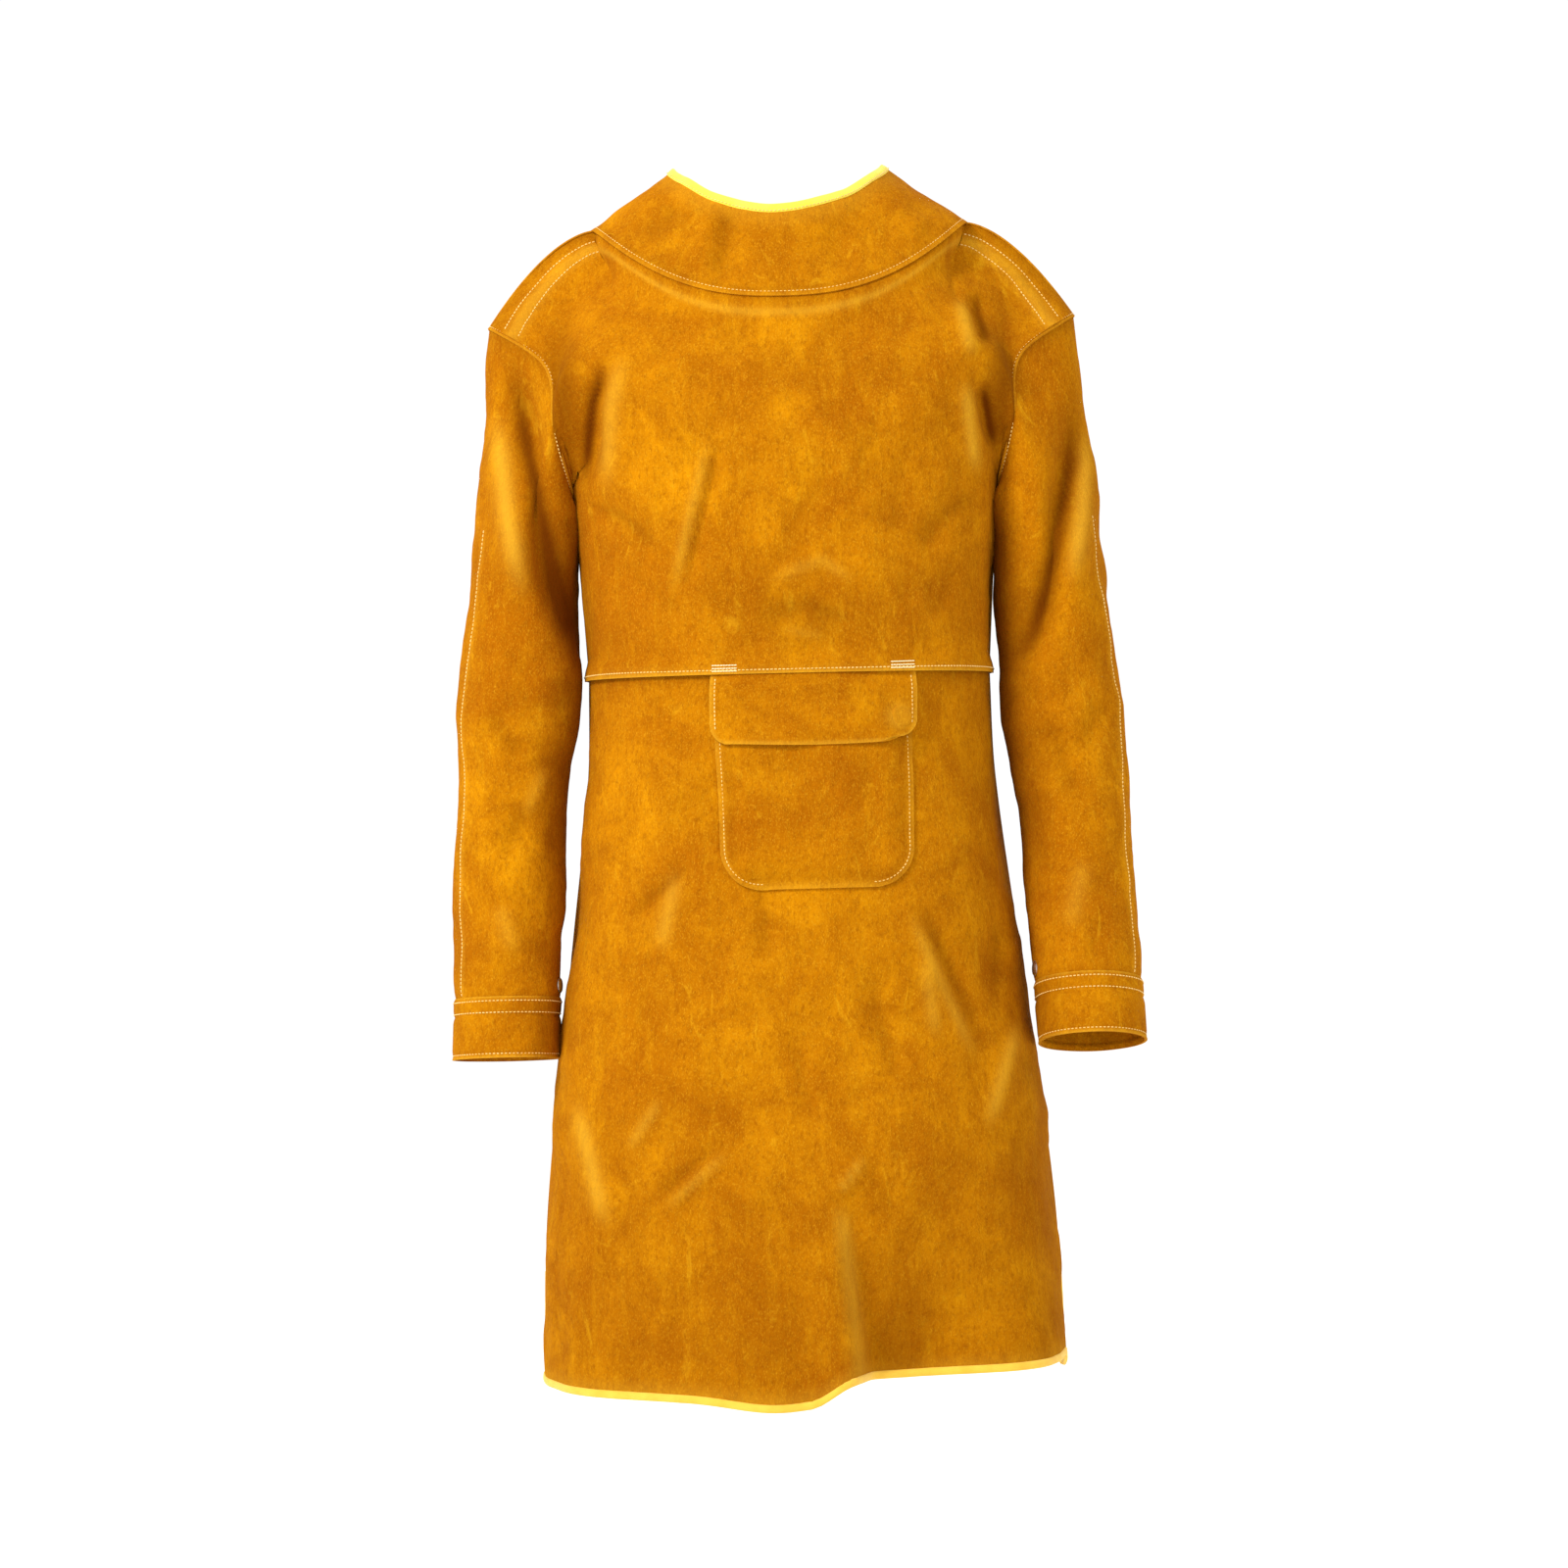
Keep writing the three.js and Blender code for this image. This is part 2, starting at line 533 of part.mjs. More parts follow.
for (const [name, { side, tilt }] of Object.entries(ARMS)) {
  // Both halves are cut back in front of the elbow, by half of the whole bend each.
  const bend = Math.tan(rad((tilt + ELBOW_FLEX) / 2));
  const mirror = (point) => point.setX(side * point.x);
  const upper = (u, v) => {
    const turn = 2 * Math.PI * u;
    const ahead = Math.max(0, ELBOW_HALF_DEPTH * Math.sin(turn));
    const foot = ELBOW.z + 2 * FIT + ahead * bend;
    return mirror(upperSleeve(turn, mix(armholeRing(turn).z, foot, v)));
  };
  const lower = (u, v) => {
    const turn = 2 * Math.PI * u;
    const ahead = ELBOW_HALF_DEPTH * Math.sin(turn);
    const cut = ahead > 0 ? ahead * bend : ahead * Math.tan(rad(tilt));
    return mirror(forearm(tilt, turn, mix(FIT + cut, FOREARM - SEAM, v)));
  };
  const cuff = (u, v) => {
    const turn = 2 * Math.PI * u;
    const down = mix(FOREARM, FOREARM + CUFF, v);
    return mirror(forearm(tilt, turn, down));
  };
  const flip = side > 0;
  const ring = { closed: true, flip };
  add(`upper_sleeve_${name}`, sheet(upper, { across: 28, down: 7, ...ring }), leather);
  add(`lower_sleeve_${name}`, sheet(lower, { across: 24, down: 5, ...ring }), leather);
  add(`cuff_${name}`, sheet(cuff, { across: 24, down: 1, thickness: CUFF_LEATHER, ...ring }), leather);

  // The tab on the back of the cuff, held off it by the height of the stud.
  const tabFrom = rad(CUFF_TAB_FROM);
  const tabTo = rad(CUFF_TAB_TO);
  const tabTop = FOREARM + (CUFF - CUFF_TAB_HEIGHT) / 2;
  const cuffFace = CUFF_LEATHER / 2;
  const tab = (u, v) => {
    const turn = mix(tabFrom, tabTo, u);
    const near = Math.max(0, 1 - u / CUFF_TAB_FOOT);
    const off = cuffFace + mix(STUD_ROOM, FIT, near) + LEATHER / 2;
    return mirror(forearm(tilt, turn, tabTop + CUFF_TAB_HEIGHT * v, off));
  };
  const tabSteps = [0, CUFF_TAB_FOOT, 0.3, 0.45, 0.6, 0.75, 0.9, 1];
  add(`cuff_tab_${name}`, sheet(tab, { across: tabSteps, down: 1, flip: !flip }), leather);

  const snapTurn = mix(tabFrom, tabTo, CUFF_SNAP_SHARE);
  const middle = FOREARM + CUFF / 2;
  const onCuff = (off) => mirror(forearm(tilt, snapTurn, middle, off));
  const outward = onCuff(1).sub(onCuff(0)).normalize();
  stud(`cuff_snap_stud_${name}`, onCuff(cuffFace + FIT), outward);
  cap(`cuff_snap_cap_${name}`, onCuff(cuffFace + STUD_ROOM + LEATHER + 2 * FIT), outward);
  const onSleeve = (off) => mirror(forearm(tilt, rad(VENT_SNAP_TURN), FOREARM - VENT_SNAP_RISE, off));
  cap(`vent_snap_${name}`, onSleeve(LEATHER / 2 + 2 * FIT), onSleeve(1).sub(onSleeve(0)).normalize());
}

// ---------------------------------------------------------------- snaps

// Turns a piece made along +Z to point along a normal, and moves it to its seat.
function seat(mesh, point, normal) {
  mesh.quaternion.setFromUnitVectors(new THREE.Vector3(0, 0, 1), normal);
  mesh.position.copy(point);
}

function turned(points) {
  const outline = points.map(([r, z]) => new THREE.Vector2(r, z));
  return new THREE.LatheGeometry(outline, 16).rotateX(Math.PI / 2);
}

// A stud is a flange with a post on it.
function stud(name, point, normal) {
  const r = STUD_RADIUS;
  const h = STUD_HEIGHT;
  const post = 0.6 * r;
  const flange = 0.4 * h;
  const shape = turned([[0, 0], [r, 0], [r, flange], [post, flange], [post, h], [0, h]]);
  seat(add(name, shape, metal), point, normal);
}

// A cap is a low dome with a flat middle.
function cap(name, point, normal) {
  const r = CAP_RADIUS;
  const h = CAP_HEIGHT;
  const shape = turned([[0, 0], [r, 0], [r, 0.3 * h], [0.8 * r, 0.75 * h], [0.45 * r, h], [0, h]]);
  seat(add(name, shape, metal), point, normal);
}

// ---------------------------------------------------------------- pocket and flap

// The front of the skirt, or a layer off it, at a place given by x and height.
function onSkirt(x, z, off) {
  const share = (Math.abs(x) / SKIRT_HALF_WIDTH(z)) ** ROUNDNESS;
  return new THREE.Vector3(x, -(SKIRT_FRONT(z) * (1 - share) ** (1 / ROUNDNESS) + SEAM / 2 + off), z);
}

const onFace = LEATHER + FIT; // from the middle of one leather to the middle of one lying on it

// Half the width left by a rounded lower corner at a height above the foot.
function rounded(half, corner, above) {
  const short = Math.max(0, corner - above);
  return half - corner + Math.sqrt(Math.max(0, corner * corner - short * short));
}

const pocketLength = POCKET_TOP - POCKET_FOOT;
add(
  "patch_pocket",
  sheet((u, v) => {
    const above = pocketLength * (1 - v) + SEAM;
    const half = rounded(POCKET_HALF_WIDTH - POCKET_TAPER * v, POCKET_CORNER, above);
    const x = half * mix(-1, 1, u);
    const inside = Math.min(half - Math.abs(x), above) / POCKET_SLOPE;
    const room = (POCKET_ROOM - FIT) * Math.min(1, inside);
    return onSkirt(POCKET_X + x, POCKET_FOOT + above, onFace + room);
  }, {
    across: [0, 0.04, 0.085, 0.2, 0.35, 0.5, 0.65, 0.8, 0.915, 0.96, 1], // closer over the sloping edges
    down: [0, 0.25, 0.5, 0.7, 0.82, 0.92, 0.97, 1],
  }),
  leather,
);

const flapOff = onFace + POCKET_ROOM + LEATHER + FIT; // over the pocket
const flapRise = 0.2; // share of the flap's length that rises over the pocket's mouth
add(
  "pocket_flap",
  sheet((u, v) => {
    const above = FLAP_LENGTH * (1 - v) + SEAM;
    const x = rounded(FLAP_HALF_WIDTH, FLAP_CORNER, above) * mix(-1, 1, u);
    const off = mix(onFace, flapOff + STUD_ROOM, Math.min(1, v / flapRise));
    return onSkirt(POCKET_X + x, FLAP_TOP - FLAP_LENGTH * v, off);
  }, { across: 12, down: [0, 0.1, 0.2, 0.4, 0.6, 0.75, 0.88, 1] }),
  leather,
);

const flapNormal = onSkirt(FLAP_SNAP_X, FLAP_SNAP_Z, 0)
  .sub(onSkirt(FLAP_SNAP_X + 1, FLAP_SNAP_Z, 0))
  .cross(new THREE.Vector3(0, 0, 1))
  .normalize();
if (flapNormal.y > 0) flapNormal.negate();
const flapSnap = (off) => onSkirt(FLAP_SNAP_X, FLAP_SNAP_Z, off);
stud("pocket_snap_stud", flapSnap(onFace + POCKET_ROOM + LEATHER / 2 + FIT), flapNormal);
cap("pocket_snap_cap", flapSnap(flapOff + STUD_ROOM + LEATHER / 2 + 2 * FIT), flapNormal);

// ---------------------------------------------------------------- tabs across the back opening

for (const [name, drop] of [["neck", NECK_TAB_DROP], ["waist", WAIST_TAB_DROP]]) {
  const point = bodice(1, 1e-4, drop).setX(0);
  const down = bodice(1, 1e-4, drop + 0.02).setX(0).sub(point).normalize();
  const normal = new THREE.Vector3(1, 0, 0).cross(down).normalize();
  if (normal.y < 0) normal.negate();
  const along = new THREE.Vector3(-1, 0, 0);
  const frame = new THREE.Matrix4().makeBasis(along, normal, along.clone().cross(normal));
  frame.setPosition(point);
  // The strap starts on the right half, on a stitched foot, and reaches over the left half.
  const face = LEATHER / 2 + FIT;
  const under = TAPE / 2 + STUD_ROOM;
  const over = under + LEATHER;
  const root = -TAB_LENGTH / 2;
  const outline = new THREE.Shape([
    new THREE.Vector2(root, face),
    new THREE.Vector2(root + TAB_FOOT, face),
    new THREE.Vector2(root + TAB_FOOT, under),
    new THREE.Vector2(-root, under),
    new THREE.Vector2(-root, over),
    new THREE.Vector2(root, over),
  ]);
  const strap = new THREE.ExtrudeGeometry(outline, { depth: TAB_HEIGHT, bevelEnabled: false });
  strap.translate(0, 0, -TAB_HEIGHT / 2).applyMatrix4(frame);
  add(`${name}_tab`, strap, leather);
  const snapAt = (off) => new THREE.Vector3(TAB_LENGTH / 2 - TAB_SNAP_INSET, off, 0).applyMatrix4(frame);
  stud(`${name}_snap_stud`, snapAt(face), normal);
  cap(`${name}_snap_cap`, snapAt(over + FIT), normal);
}

export default coat;
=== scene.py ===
# A split-leather welding coat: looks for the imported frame. Sizes are in millimetres until a mesh is made.
import bpy
import math
import numpy as np
from mathutils import Matrix, Vector


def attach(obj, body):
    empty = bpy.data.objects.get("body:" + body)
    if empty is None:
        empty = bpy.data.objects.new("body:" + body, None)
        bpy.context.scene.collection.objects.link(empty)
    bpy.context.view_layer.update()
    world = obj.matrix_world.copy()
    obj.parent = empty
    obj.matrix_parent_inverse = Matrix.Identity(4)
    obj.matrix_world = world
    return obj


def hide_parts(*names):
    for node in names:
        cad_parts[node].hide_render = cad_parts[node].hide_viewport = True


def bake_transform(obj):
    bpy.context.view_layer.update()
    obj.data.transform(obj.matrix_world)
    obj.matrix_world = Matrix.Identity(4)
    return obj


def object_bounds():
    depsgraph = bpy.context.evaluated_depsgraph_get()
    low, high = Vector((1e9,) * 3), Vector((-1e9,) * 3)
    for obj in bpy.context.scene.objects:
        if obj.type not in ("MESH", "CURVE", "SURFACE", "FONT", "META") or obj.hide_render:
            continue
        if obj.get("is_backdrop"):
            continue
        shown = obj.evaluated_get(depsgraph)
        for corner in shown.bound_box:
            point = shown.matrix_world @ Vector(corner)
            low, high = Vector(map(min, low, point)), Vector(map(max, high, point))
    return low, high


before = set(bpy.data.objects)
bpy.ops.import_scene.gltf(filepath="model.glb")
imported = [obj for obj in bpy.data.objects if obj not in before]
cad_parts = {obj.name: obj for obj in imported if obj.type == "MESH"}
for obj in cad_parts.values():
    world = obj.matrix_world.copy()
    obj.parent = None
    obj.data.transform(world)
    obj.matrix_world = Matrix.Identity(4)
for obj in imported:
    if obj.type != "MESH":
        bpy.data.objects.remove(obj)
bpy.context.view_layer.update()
scene = bpy.context.scene

# ---------------------------------------------------------------- camera, light and floor

camera = bpy.data.objects.new("camera", bpy.data.cameras.new("camera"))
scene.collection.objects.link(camera)
camera.data.lens = 89.5
camera.data.sensor_width = 36
camera.matrix_world = (Matrix.Translation((-0.007, -3.5, -0.493)) @ Matrix.Rotation(math.radians(90), 4, "X")
                       @ Matrix.Rotation(math.radians(-1.3), 4, "Z"))
scene.camera = camera
scene.view_settings.view_transform = "Standard"


def area_light(name, place, target, size, power):
    lamp = bpy.data.lights.new(name, "AREA")
    lamp.shape = "SQUARE"
    lamp.size = size
    lamp.energy = power
    holder = bpy.data.objects.new(name, lamp)
    scene.collection.objects.link(holder)
    holder.location = place
    holder.rotation_euler = (Vector(target) - Vector(place)).to_track_quat("-Z", "Y").to_euler()


area_light("key", (-1.9, -2.0, 1.6), (0, 0, -0.5), 0.8, 92)
area_light("fill", (2.4, -1.6, 0.4), (0, 0, -0.5), 1.6, 4)
area_light("back", (0.6, 2.8, 1.4), (0, 0, -0.5), 1.8, 30)

world = bpy.data.worlds.new("studio")
scene.world = world
world.use_nodes = True
world.node_tree.nodes["Background"].inputs["Color"].default_value = (0.93, 0.93, 0.93, 1)
world.node_tree.nodes["Background"].inputs["Strength"].default_value = 1.12

# ---------------------------------------------------------------- materials


class Nodes:
    """Short calls for building one material."""

    def __init__(self, name, roughness, sheen=0.0, tint=(1, 1, 1), specular=0.3, metallic=0.0):
        self.material = bpy.data.materials.new(name)
        self.material.use_nodes = True
        self.tree = self.material.node_tree
        self.shader = self.tree.nodes["Principled BSDF"]
        self.shader.inputs["Roughness"].default_value = roughness
        self.shader.inputs["Sheen Weight"].default_value = sheen
        self.shader.inputs["Sheen Roughness"].default_value = 0.55
        self.shader.inputs["Sheen Tint"].default_value = (*tint, 1)
        self.shader.inputs["Specular IOR Level"].default_value = specular
        self.shader.inputs["Metallic"].default_value = metallic
        self.place = self.node("ShaderNodeTexCoord").outputs["Object"]

    def node(self, kind, **values):
        made = self.tree.nodes.new(kind)
        for key, value in values.items():
            if hasattr(made, key):
                setattr(made, key, value)
            else:
                made.inputs[key.replace("_", " ")].default_value = value
        return made

    def link(self, source, target):
        self.tree.links.new(source, target)

    def stretched(self, scale):
        mapping = self.node("ShaderNodeMapping", Scale=scale)
        self.link(self.place, mapping.inputs["Vector"])
        return mapping.outputs["Vector"]

    def noise(self, scale, detail=4, roughness=0.55, distortion=0.0, place=None):
        made = self.node("ShaderNodeTexNoise", Scale=scale, Detail=detail, Roughness=roughness, Distortion=distortion)
        self.link(place or self.place, made.inputs["Vector"])
        return made.outputs["Fac"]

    def ramp(self, value, low, high, start=(0, 0, 0), end=(1, 1, 1)):
        made = self.node("ShaderNodeValToRGB")
        made.color_ramp.elements[0].position = low
        made.color_ramp.elements[1].position = high
        made.color_ramp.elements[0].color = (*start, 1)
        made.color_ramp.elements[1].color = (*end, 1)
        self.link(value, made.inputs["Fac"])
        return made.outputs["Color"]

    def mix(self, share, first, second, mode="MIX"):
        made = self.node("ShaderNodeMix", data_type="RGBA", blend_type=mode)
        for socket, value in ((made.inputs[0], share), (made.inputs[6], first), (made.inputs[7], second)):
            if isinstance(value, (int, float)):
                socket.default_value = value
            elif isinstance(value, tuple):
                socket.default_value = (*value, 1)
            else:
                self.link(value, socket)
        return made.outputs[2]

    def maths(self, operation, first, second):
        made = self.node("ShaderNodeMath", operation=operation)
        for socket, value in zip(made.inputs, (first, second)):
            if isinstance(value, (int, float)):
                socket.default_value = value
            else:
                self.link(value, socket)
        return made.outputs[0]

    def attribute(self, name):
        made = self.node("ShaderNodeAttribute", attribute_name=name)
        return made.outputs["Fac"]

    def bump(self, height, strength, distance, below=None):
        made = self.node("ShaderNodeBump", Strength=strength, Distance=distance)
        self.link(height, made.inputs["Height"])
        if below:
            self.link(below, made.inputs["Normal"])
        return made.outputs["Normal"]

    def done(self, colour, normal=None):
        self.link(colour, self.shader.inputs["Base Color"])
        if normal:
            self.link(normal, self.shader.inputs["Normal"])
        return self.material


def leather_material():
    n = Nodes("split_leather", 0.97, sheen=0.05, tint=(1.0, 0.45, 0.05), specular=0.015)
    broad = n.noise(6.5, 6, 0.62, 0.9)
    cloudy = n.noise(19, 7, 0.68, 0.8)
    streaks = n.noise(1, 5, 0.65, 0.8, n.stretched((60, 60, 17)))
    colour = n.mix(n.ramp(broad, 0.36, 0.66), (0.370, 0.108, 0.0008), (0.560, 0.212, 0.0012))
    colour = n.mix(n.ramp(cloudy, 0.34, 0.66), n.mix(0.75, colour, (0.290, 0.078, 0.0006)), colour)
    colour = n.mix(n.maths("MULTIPLY", n.ramp(streaks, 0.48, 0.8), 0.30), colour, (0.68, 0.310, 0.003))
    # The nap: short fibres brushed mostly downwards, with small darker and lighter tufts.
    tufts = n.noise(330, 3, 0.7, 0.2, n.stretched((1, 1, 0.55)))
    fibres = n.noise(950, 2, 0.6, 0.0, n.stretched((1, 1, 0.5)))
    colour = n.mix(n.maths("MULTIPLY", n.ramp(tufts, 0.48, 0.74), 0.60), colour, (0.220, 0.056, 0.0006))
    colour = n.mix(n.maths("MULTIPLY", n.ramp(fibres, 0.52, 0.74), 0.34), colour, (0.76, 0.39, 0.015))
    # Scuffs left by handling.
    scuffs = n.ramp(n.noise(1, 6, 0.7, 1.6, n.stretched((34, 34, 16))), 0.60, 0.70)
    colour = n.mix(n.maths("MULTIPLY", scuffs, 0.32), colour, (0.72, 0.36, 0.008))
    # The worn share: pale wear with a painted highlight on crests, ridges and edges.
    colour = n.mix(n.attribute("worn"), colour, (0.80, 0.45, 0.03))
    # The deep share: painted shade in valleys, armholes, hollows under edges, on sides turned from the light and
    # towards the lower right.
    colour = n.mix(n.attribute("deep"), colour, (0.120, 0.026, 0.0004))
    normal = n.bump(cloudy, 0.25, 0.006)
    normal = n.bump(tufts, 0.55, 0.0016, normal)
    return n.done(colour, n.bump(fibres, 0.35, 0.0007, normal))


def tape_material(name, bright, dull):
    n = Nodes(name, 0.78, sheen=0.3, tint=(1, 0.95, 0.6), specular=0.3)
    wave = n.node("ShaderNodeTexWave", Scale=420, Distortion=0.6, bands_direction="DIAGONAL")
    n.link(n.place, wave.inputs["Vector"])
    weave = wave.outputs["Fac"]
    dirt = n.ramp(n.noise(45, 4, 0.6), 0.40, 0.75)
    colour = n.mix(dirt, bright, dull)
    colour = n.mix(n.maths("MULTIPLY", weave, 0.16), colour, (0.30, 0.15, 0.01))
    return n.done(colour, n.bump(weave, 0.4, 0.0005))


def thread_material():
    n = Nodes("thread", 0.8, sheen=0.2, specular=0.25)
    twist = n.noise(1800, 2, 0.5)
    colour = n.mix(n.ramp(n.noise(60, 3), 0.35, 0.7), (0.80, 0.47, 0.10), (0.92, 0.66, 0.22))
    return n.done(n.mix(n.maths("MULTIPLY", twist, 0.25), colour, (0.45, 0.22, 0.03)), n.bump(twist, 0.4, 0.0003))


def bartack_material():
    n = Nodes("bartack", 0.85, sheen=0.25, specular=0.2)
    rows = n.noise(1500, 3, 0.6)
    return n.done(n.mix(rows, (0.93, 0.83, 0.55), (0.80, 0.62, 0.25)), n.bump(rows, 0.5, 0.0004))


def metal_material():
    n = Nodes("snap_metal", 0.3, specular=0.5, metallic=1.0)
    brushed = n.noise(1, 3, 0.6, 0.0, n.stretched((900, 900, 140)))
    worn = n.ramp(n.noise(260, 4, 0.6), 0.42, 0.72)
    roughness = n.ramp(brushed, 0.2, 0.9, (0.22, 0.22, 0.22), (0.46, 0.46, 0.46))
    n.link(roughness, n.shader.inputs["Roughness"])
    return n.done(n.mix(worn, (0.72, 0.72, 0.70), (0.52, 0.50, 0.46)), n.bump(brushed, 0.15, 0.0002))


LEATHER_LOOK = leather_material()
HEM_LOOK = tape_material("amber_tape", (0.93, 0.56, 0.05), (0.86, 0.44, 0.02))
COLLAR_LOOK = tape_material("lemon_tape", (1.0, 0.80, 0.07), (0.95, 0.66, 0.03))
THREAD = thread_material()
BARTACK = bartack_material()
METAL = metal_material()

FLOOR_Z, FLOOR_HALF = -1.28, 9  # metres
floor_mesh = bpy.data.meshes.new("floor")
floor_mesh.from_pydata([(x * FLOOR_HALF, y * FLOOR_HALF, FLOOR_Z) for x, y in ((-1, -1), (1, -1), (1, 1), (-1, 1))],
                       [], [(0, 1, 2, 3)])
floor = bpy.data.objects.new("floor", floor_mesh)
scene.collection.objects.link(floor)
pale = Nodes("pale_floor", 0.9, specular=0.1)
floor_mesh.materials.append(pale.done(pale.ramp(pale.noise(3, 2), 0.3, 0.7, (0.965,) * 3, (0.985,) * 3)))
floor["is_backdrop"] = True

# ---------------------------------------------------------------- sizes, as in the CAD source

LEATHER = 2.0
TAPE_WIDTH = 9.0
SHOULDER_TOP, SHOULDER_TIP, UNDERARM, WAIST, HEM, VENT_TOP = 6.0, -78.0, -240.0, -394.0, -1020.0, -925.0
NECK_SHARE = 8 / 13
UNDERARM_SHARE = (UNDERARM - SHOULDER_TIP) / (WAIST - SHOULDER_TIP)
ROUNDNESS = 2.4
COLLAR_END = 104.0
ELBOW_X, ELBOW_Y, ELBOW_Z = 249.0, 6.0, -430.0
SLEEVE_LEVEL = -300.0  # the height where the sleeve's section is level
FOREARM, CUFF = 252.0, 53.0
OPENING = 6.0  # from the middle of the back to the edge of each half's leather
HEM_TAPE_WIDTH, TAPE_THICKNESS = 7.4, 4.2


def profile(knots):
    """A smooth curve through (place, value) pairs, as a function of place."""
    knots = sorted(knots)
    xs, ys = (np.array(c, float) for c in zip(*knots))
    last = len(xs) - 1
    slopes = np.array([(ys[min(i + 1, last)] - ys[max(i - 1, 0)]) / (xs[min(i + 1, last)] - xs[max(i - 1, 0)])
                       for i in range(len(xs))])

    def value(x):
        x = np.clip(np.asarray(x, float), xs[0], xs[-1])
        i = np.clip(np.searchsorted(xs, x, side="right") - 1, 0, last - 1)
        span = xs[i + 1] - xs[i]
        t = (x - xs[i]) / span
        start = (1 + 2 * t) * (1 - t) ** 2 * ys[i] + t * (1 - t) ** 2 * span * slopes[i]
        return start + t * t * (3 - 2 * t) * ys[i + 1] + t * t * (t - 1) * span * slopes[i + 1]

    return value


COLLAR_TOP = profile([(-35, 28), (0, 16), (35, 28), (60, 46), (90, 60), (COLLAR_END, 58)])
BODICE_HALF_WIDTH = profile([(SHOULDER_TIP, 261), (-118, 209), (-180, 202), (UNDERARM, 189), (-300, 184), (WAIST, 178)])
BODICE_DEPTH = {-1: profile([(SHOULDER_TIP, 118), (-150, 125), (UNDERARM, 132), (WAIST, 134)]),
                1: profile([(SHOULDER_TIP, 100), (-150, 112), (UNDERARM, 118), (WAIST, 112)])}
SKIRT_HALF_WIDTH = profile([(WAIST, 178), (-487, 181), (-640, 199), (-871, 226), (HEM, 231)])
SKIRT_DEPTH = {-1: profile([(WAIST, 134), (-640, 150), (HEM, 178)]),
               1: profile([(WAIST, 112), (-640, 132), (HEM, 160)])}
SLEEVE_OUT = profile([(SLEEVE_LEVEL, 283), (-370, 292), (ELBOW_Z, 300)])
SLEEVE_IN = profile([(SLEEVE_LEVEL, 191), (-370, 193), (ELBOW_Z, 198)])
SLEEVE_DEPTH = profile([(SLEEVE_LEVEL, 68), (ELBOW_Z, 62)])
FOREARM_WIDTH = profile([(0, 51), (80, 49), (160, 49), (FOREARM, 45)])
FOREARM_DEPTH = profile([(0, 62), (160, 54), (FOREARM, 47)])

# ---------------------------------------------------------------- helpers


def mix(a, b, t):
    return a + (b - a) * t


def smooth(low, high, x):
    t = np.clip((np.asarray(x, float) - low) / (high - low), 0, 1)
    return t * t * (3 - 2 * t)


def stack(x, y, z):
    return np.stack(np.broadcast_arrays(np.asarray(x, float), y, z), axis=-1)


def unit(v):
    return v / np.maximum(np.linalg.norm(v, axis=-1, keepdims=True), 1e-9)


def lumps(p, size, seed):
    """Smooth noise from -1 to 1 with bumps about size mm across, at points p."""
    q = np.asarray(p, float) / size + seed * 17.3
    cell = np.floor(q).astype(np.int64)
    f = q - cell
    f = f * f * f * (f * (f * 6 - 15) + 10)
    total = 0.0
    for dx in (0, 1):
        for dy in (0, 1):
            for dz in (0, 1):
                h = (cell[..., 0] + dx) * 374761393 + (cell[..., 1] + dy) * 668265263 + (cell[..., 2] + dz) * 1440662683
                h = (h ^ (h >> 13)) * 1274126177
                h = (h ^ (h >> 16)) & 0xFFFF
                wx = f[..., 0] if dx else 1 - f[..., 0]
                wy = f[..., 1] if dy else 1 - f[..., 1]
                wz = f[..., 2] if dz else 1 - f[..., 2]
                total = total + wx * wy * wz * (h / 32767.5 - 1)
    return total


def stroke(x, z, line, wide, fade=0.3):
    """1 on a line of (x, z) points, falling off across it over wide mm and towards both ends."""
    line = np.array(line, float)
    lengths = np.linalg.norm(np.diff(line, axis=0), axis=1)
    whole = lengths.sum()
    best = np.full(np.broadcast(x, z).shape, 1e9)
    along = np.zeros_like(best)
    run = 0.0
    for (ax, az), (bx, bz), length in zip(line[:-1], line[1:], lengths):
        t = np.clip(((x - ax) * (bx - ax) + (z - az) * (bz - az)) / length ** 2, 0, 1)
        far = np.hypot(x - ax - t * (bx - ax), z - az - t * (bz - az))
        along = np.where(far < best, (run + t * length) / whole, along)
        best = np.minimum(best, far)
        run += length
    return np.exp(-(best / wide) ** 2) * smooth(0, fade, along) * smooth(0, fade, 1 - along)


def creased(d, x, z, creases):
    """The height d with each crease added: its line of x and z, its width, and its height or depth."""
    for line, wide, height in creases:
        d = d + height * stroke(x, z, line, wide)
    return d


def hump(x, at, wide):
    return np.exp(-((x - at) / wide) ** 2)


def spot(x, z, cx, cz, rx, rz):
    return np.exp(-((x - cx) / rx) ** 2 - ((z - cz) / rz) ** 2)


def make(name, points, faces, look):
    """An object from points in mm; faces turned to face out, smooth but for its sharp rims."""
    points = np.asarray(points, float) * 0.001
    fans = np.array([(f[0], f[k], f[k + 1]) for f in faces for k in range(1, len(f) - 1)])
    a, b, c = (points[fans[:, i]] for i in range(3))
    if np.sum(a * np.cross(b, c)) < 0:
        faces = [tuple(reversed(f)) for f in faces]
    mesh = bpy.data.meshes.new(name)
    mesh.from_pydata(points.tolist(), [], [tuple(int(i) for i in f) for f in faces])
    mesh.polygons.foreach_set("use_smooth", [True] * len(mesh.polygons))
    mesh.set_sharp_from_angle(angle=math.radians(55))
    mesh.materials.append(look)
    made = bpy.data.objects.new(name, mesh)
    scene.collection.objects.link(made)
    return made


def paint(piece, worn, deep=0.0):
    """The two shares that the leather's material reads at each vertex: worn, pale wear with a painted highlight, and
    deep, painted shade.
    """
    for key, share in (("worn", worn), ("deep", deep)):
        value = np.full(len(piece.data.vertices), share, np.float32)
        piece.data.attributes.new(key, "FLOAT", "POINT").data.foreach_set("value", value)


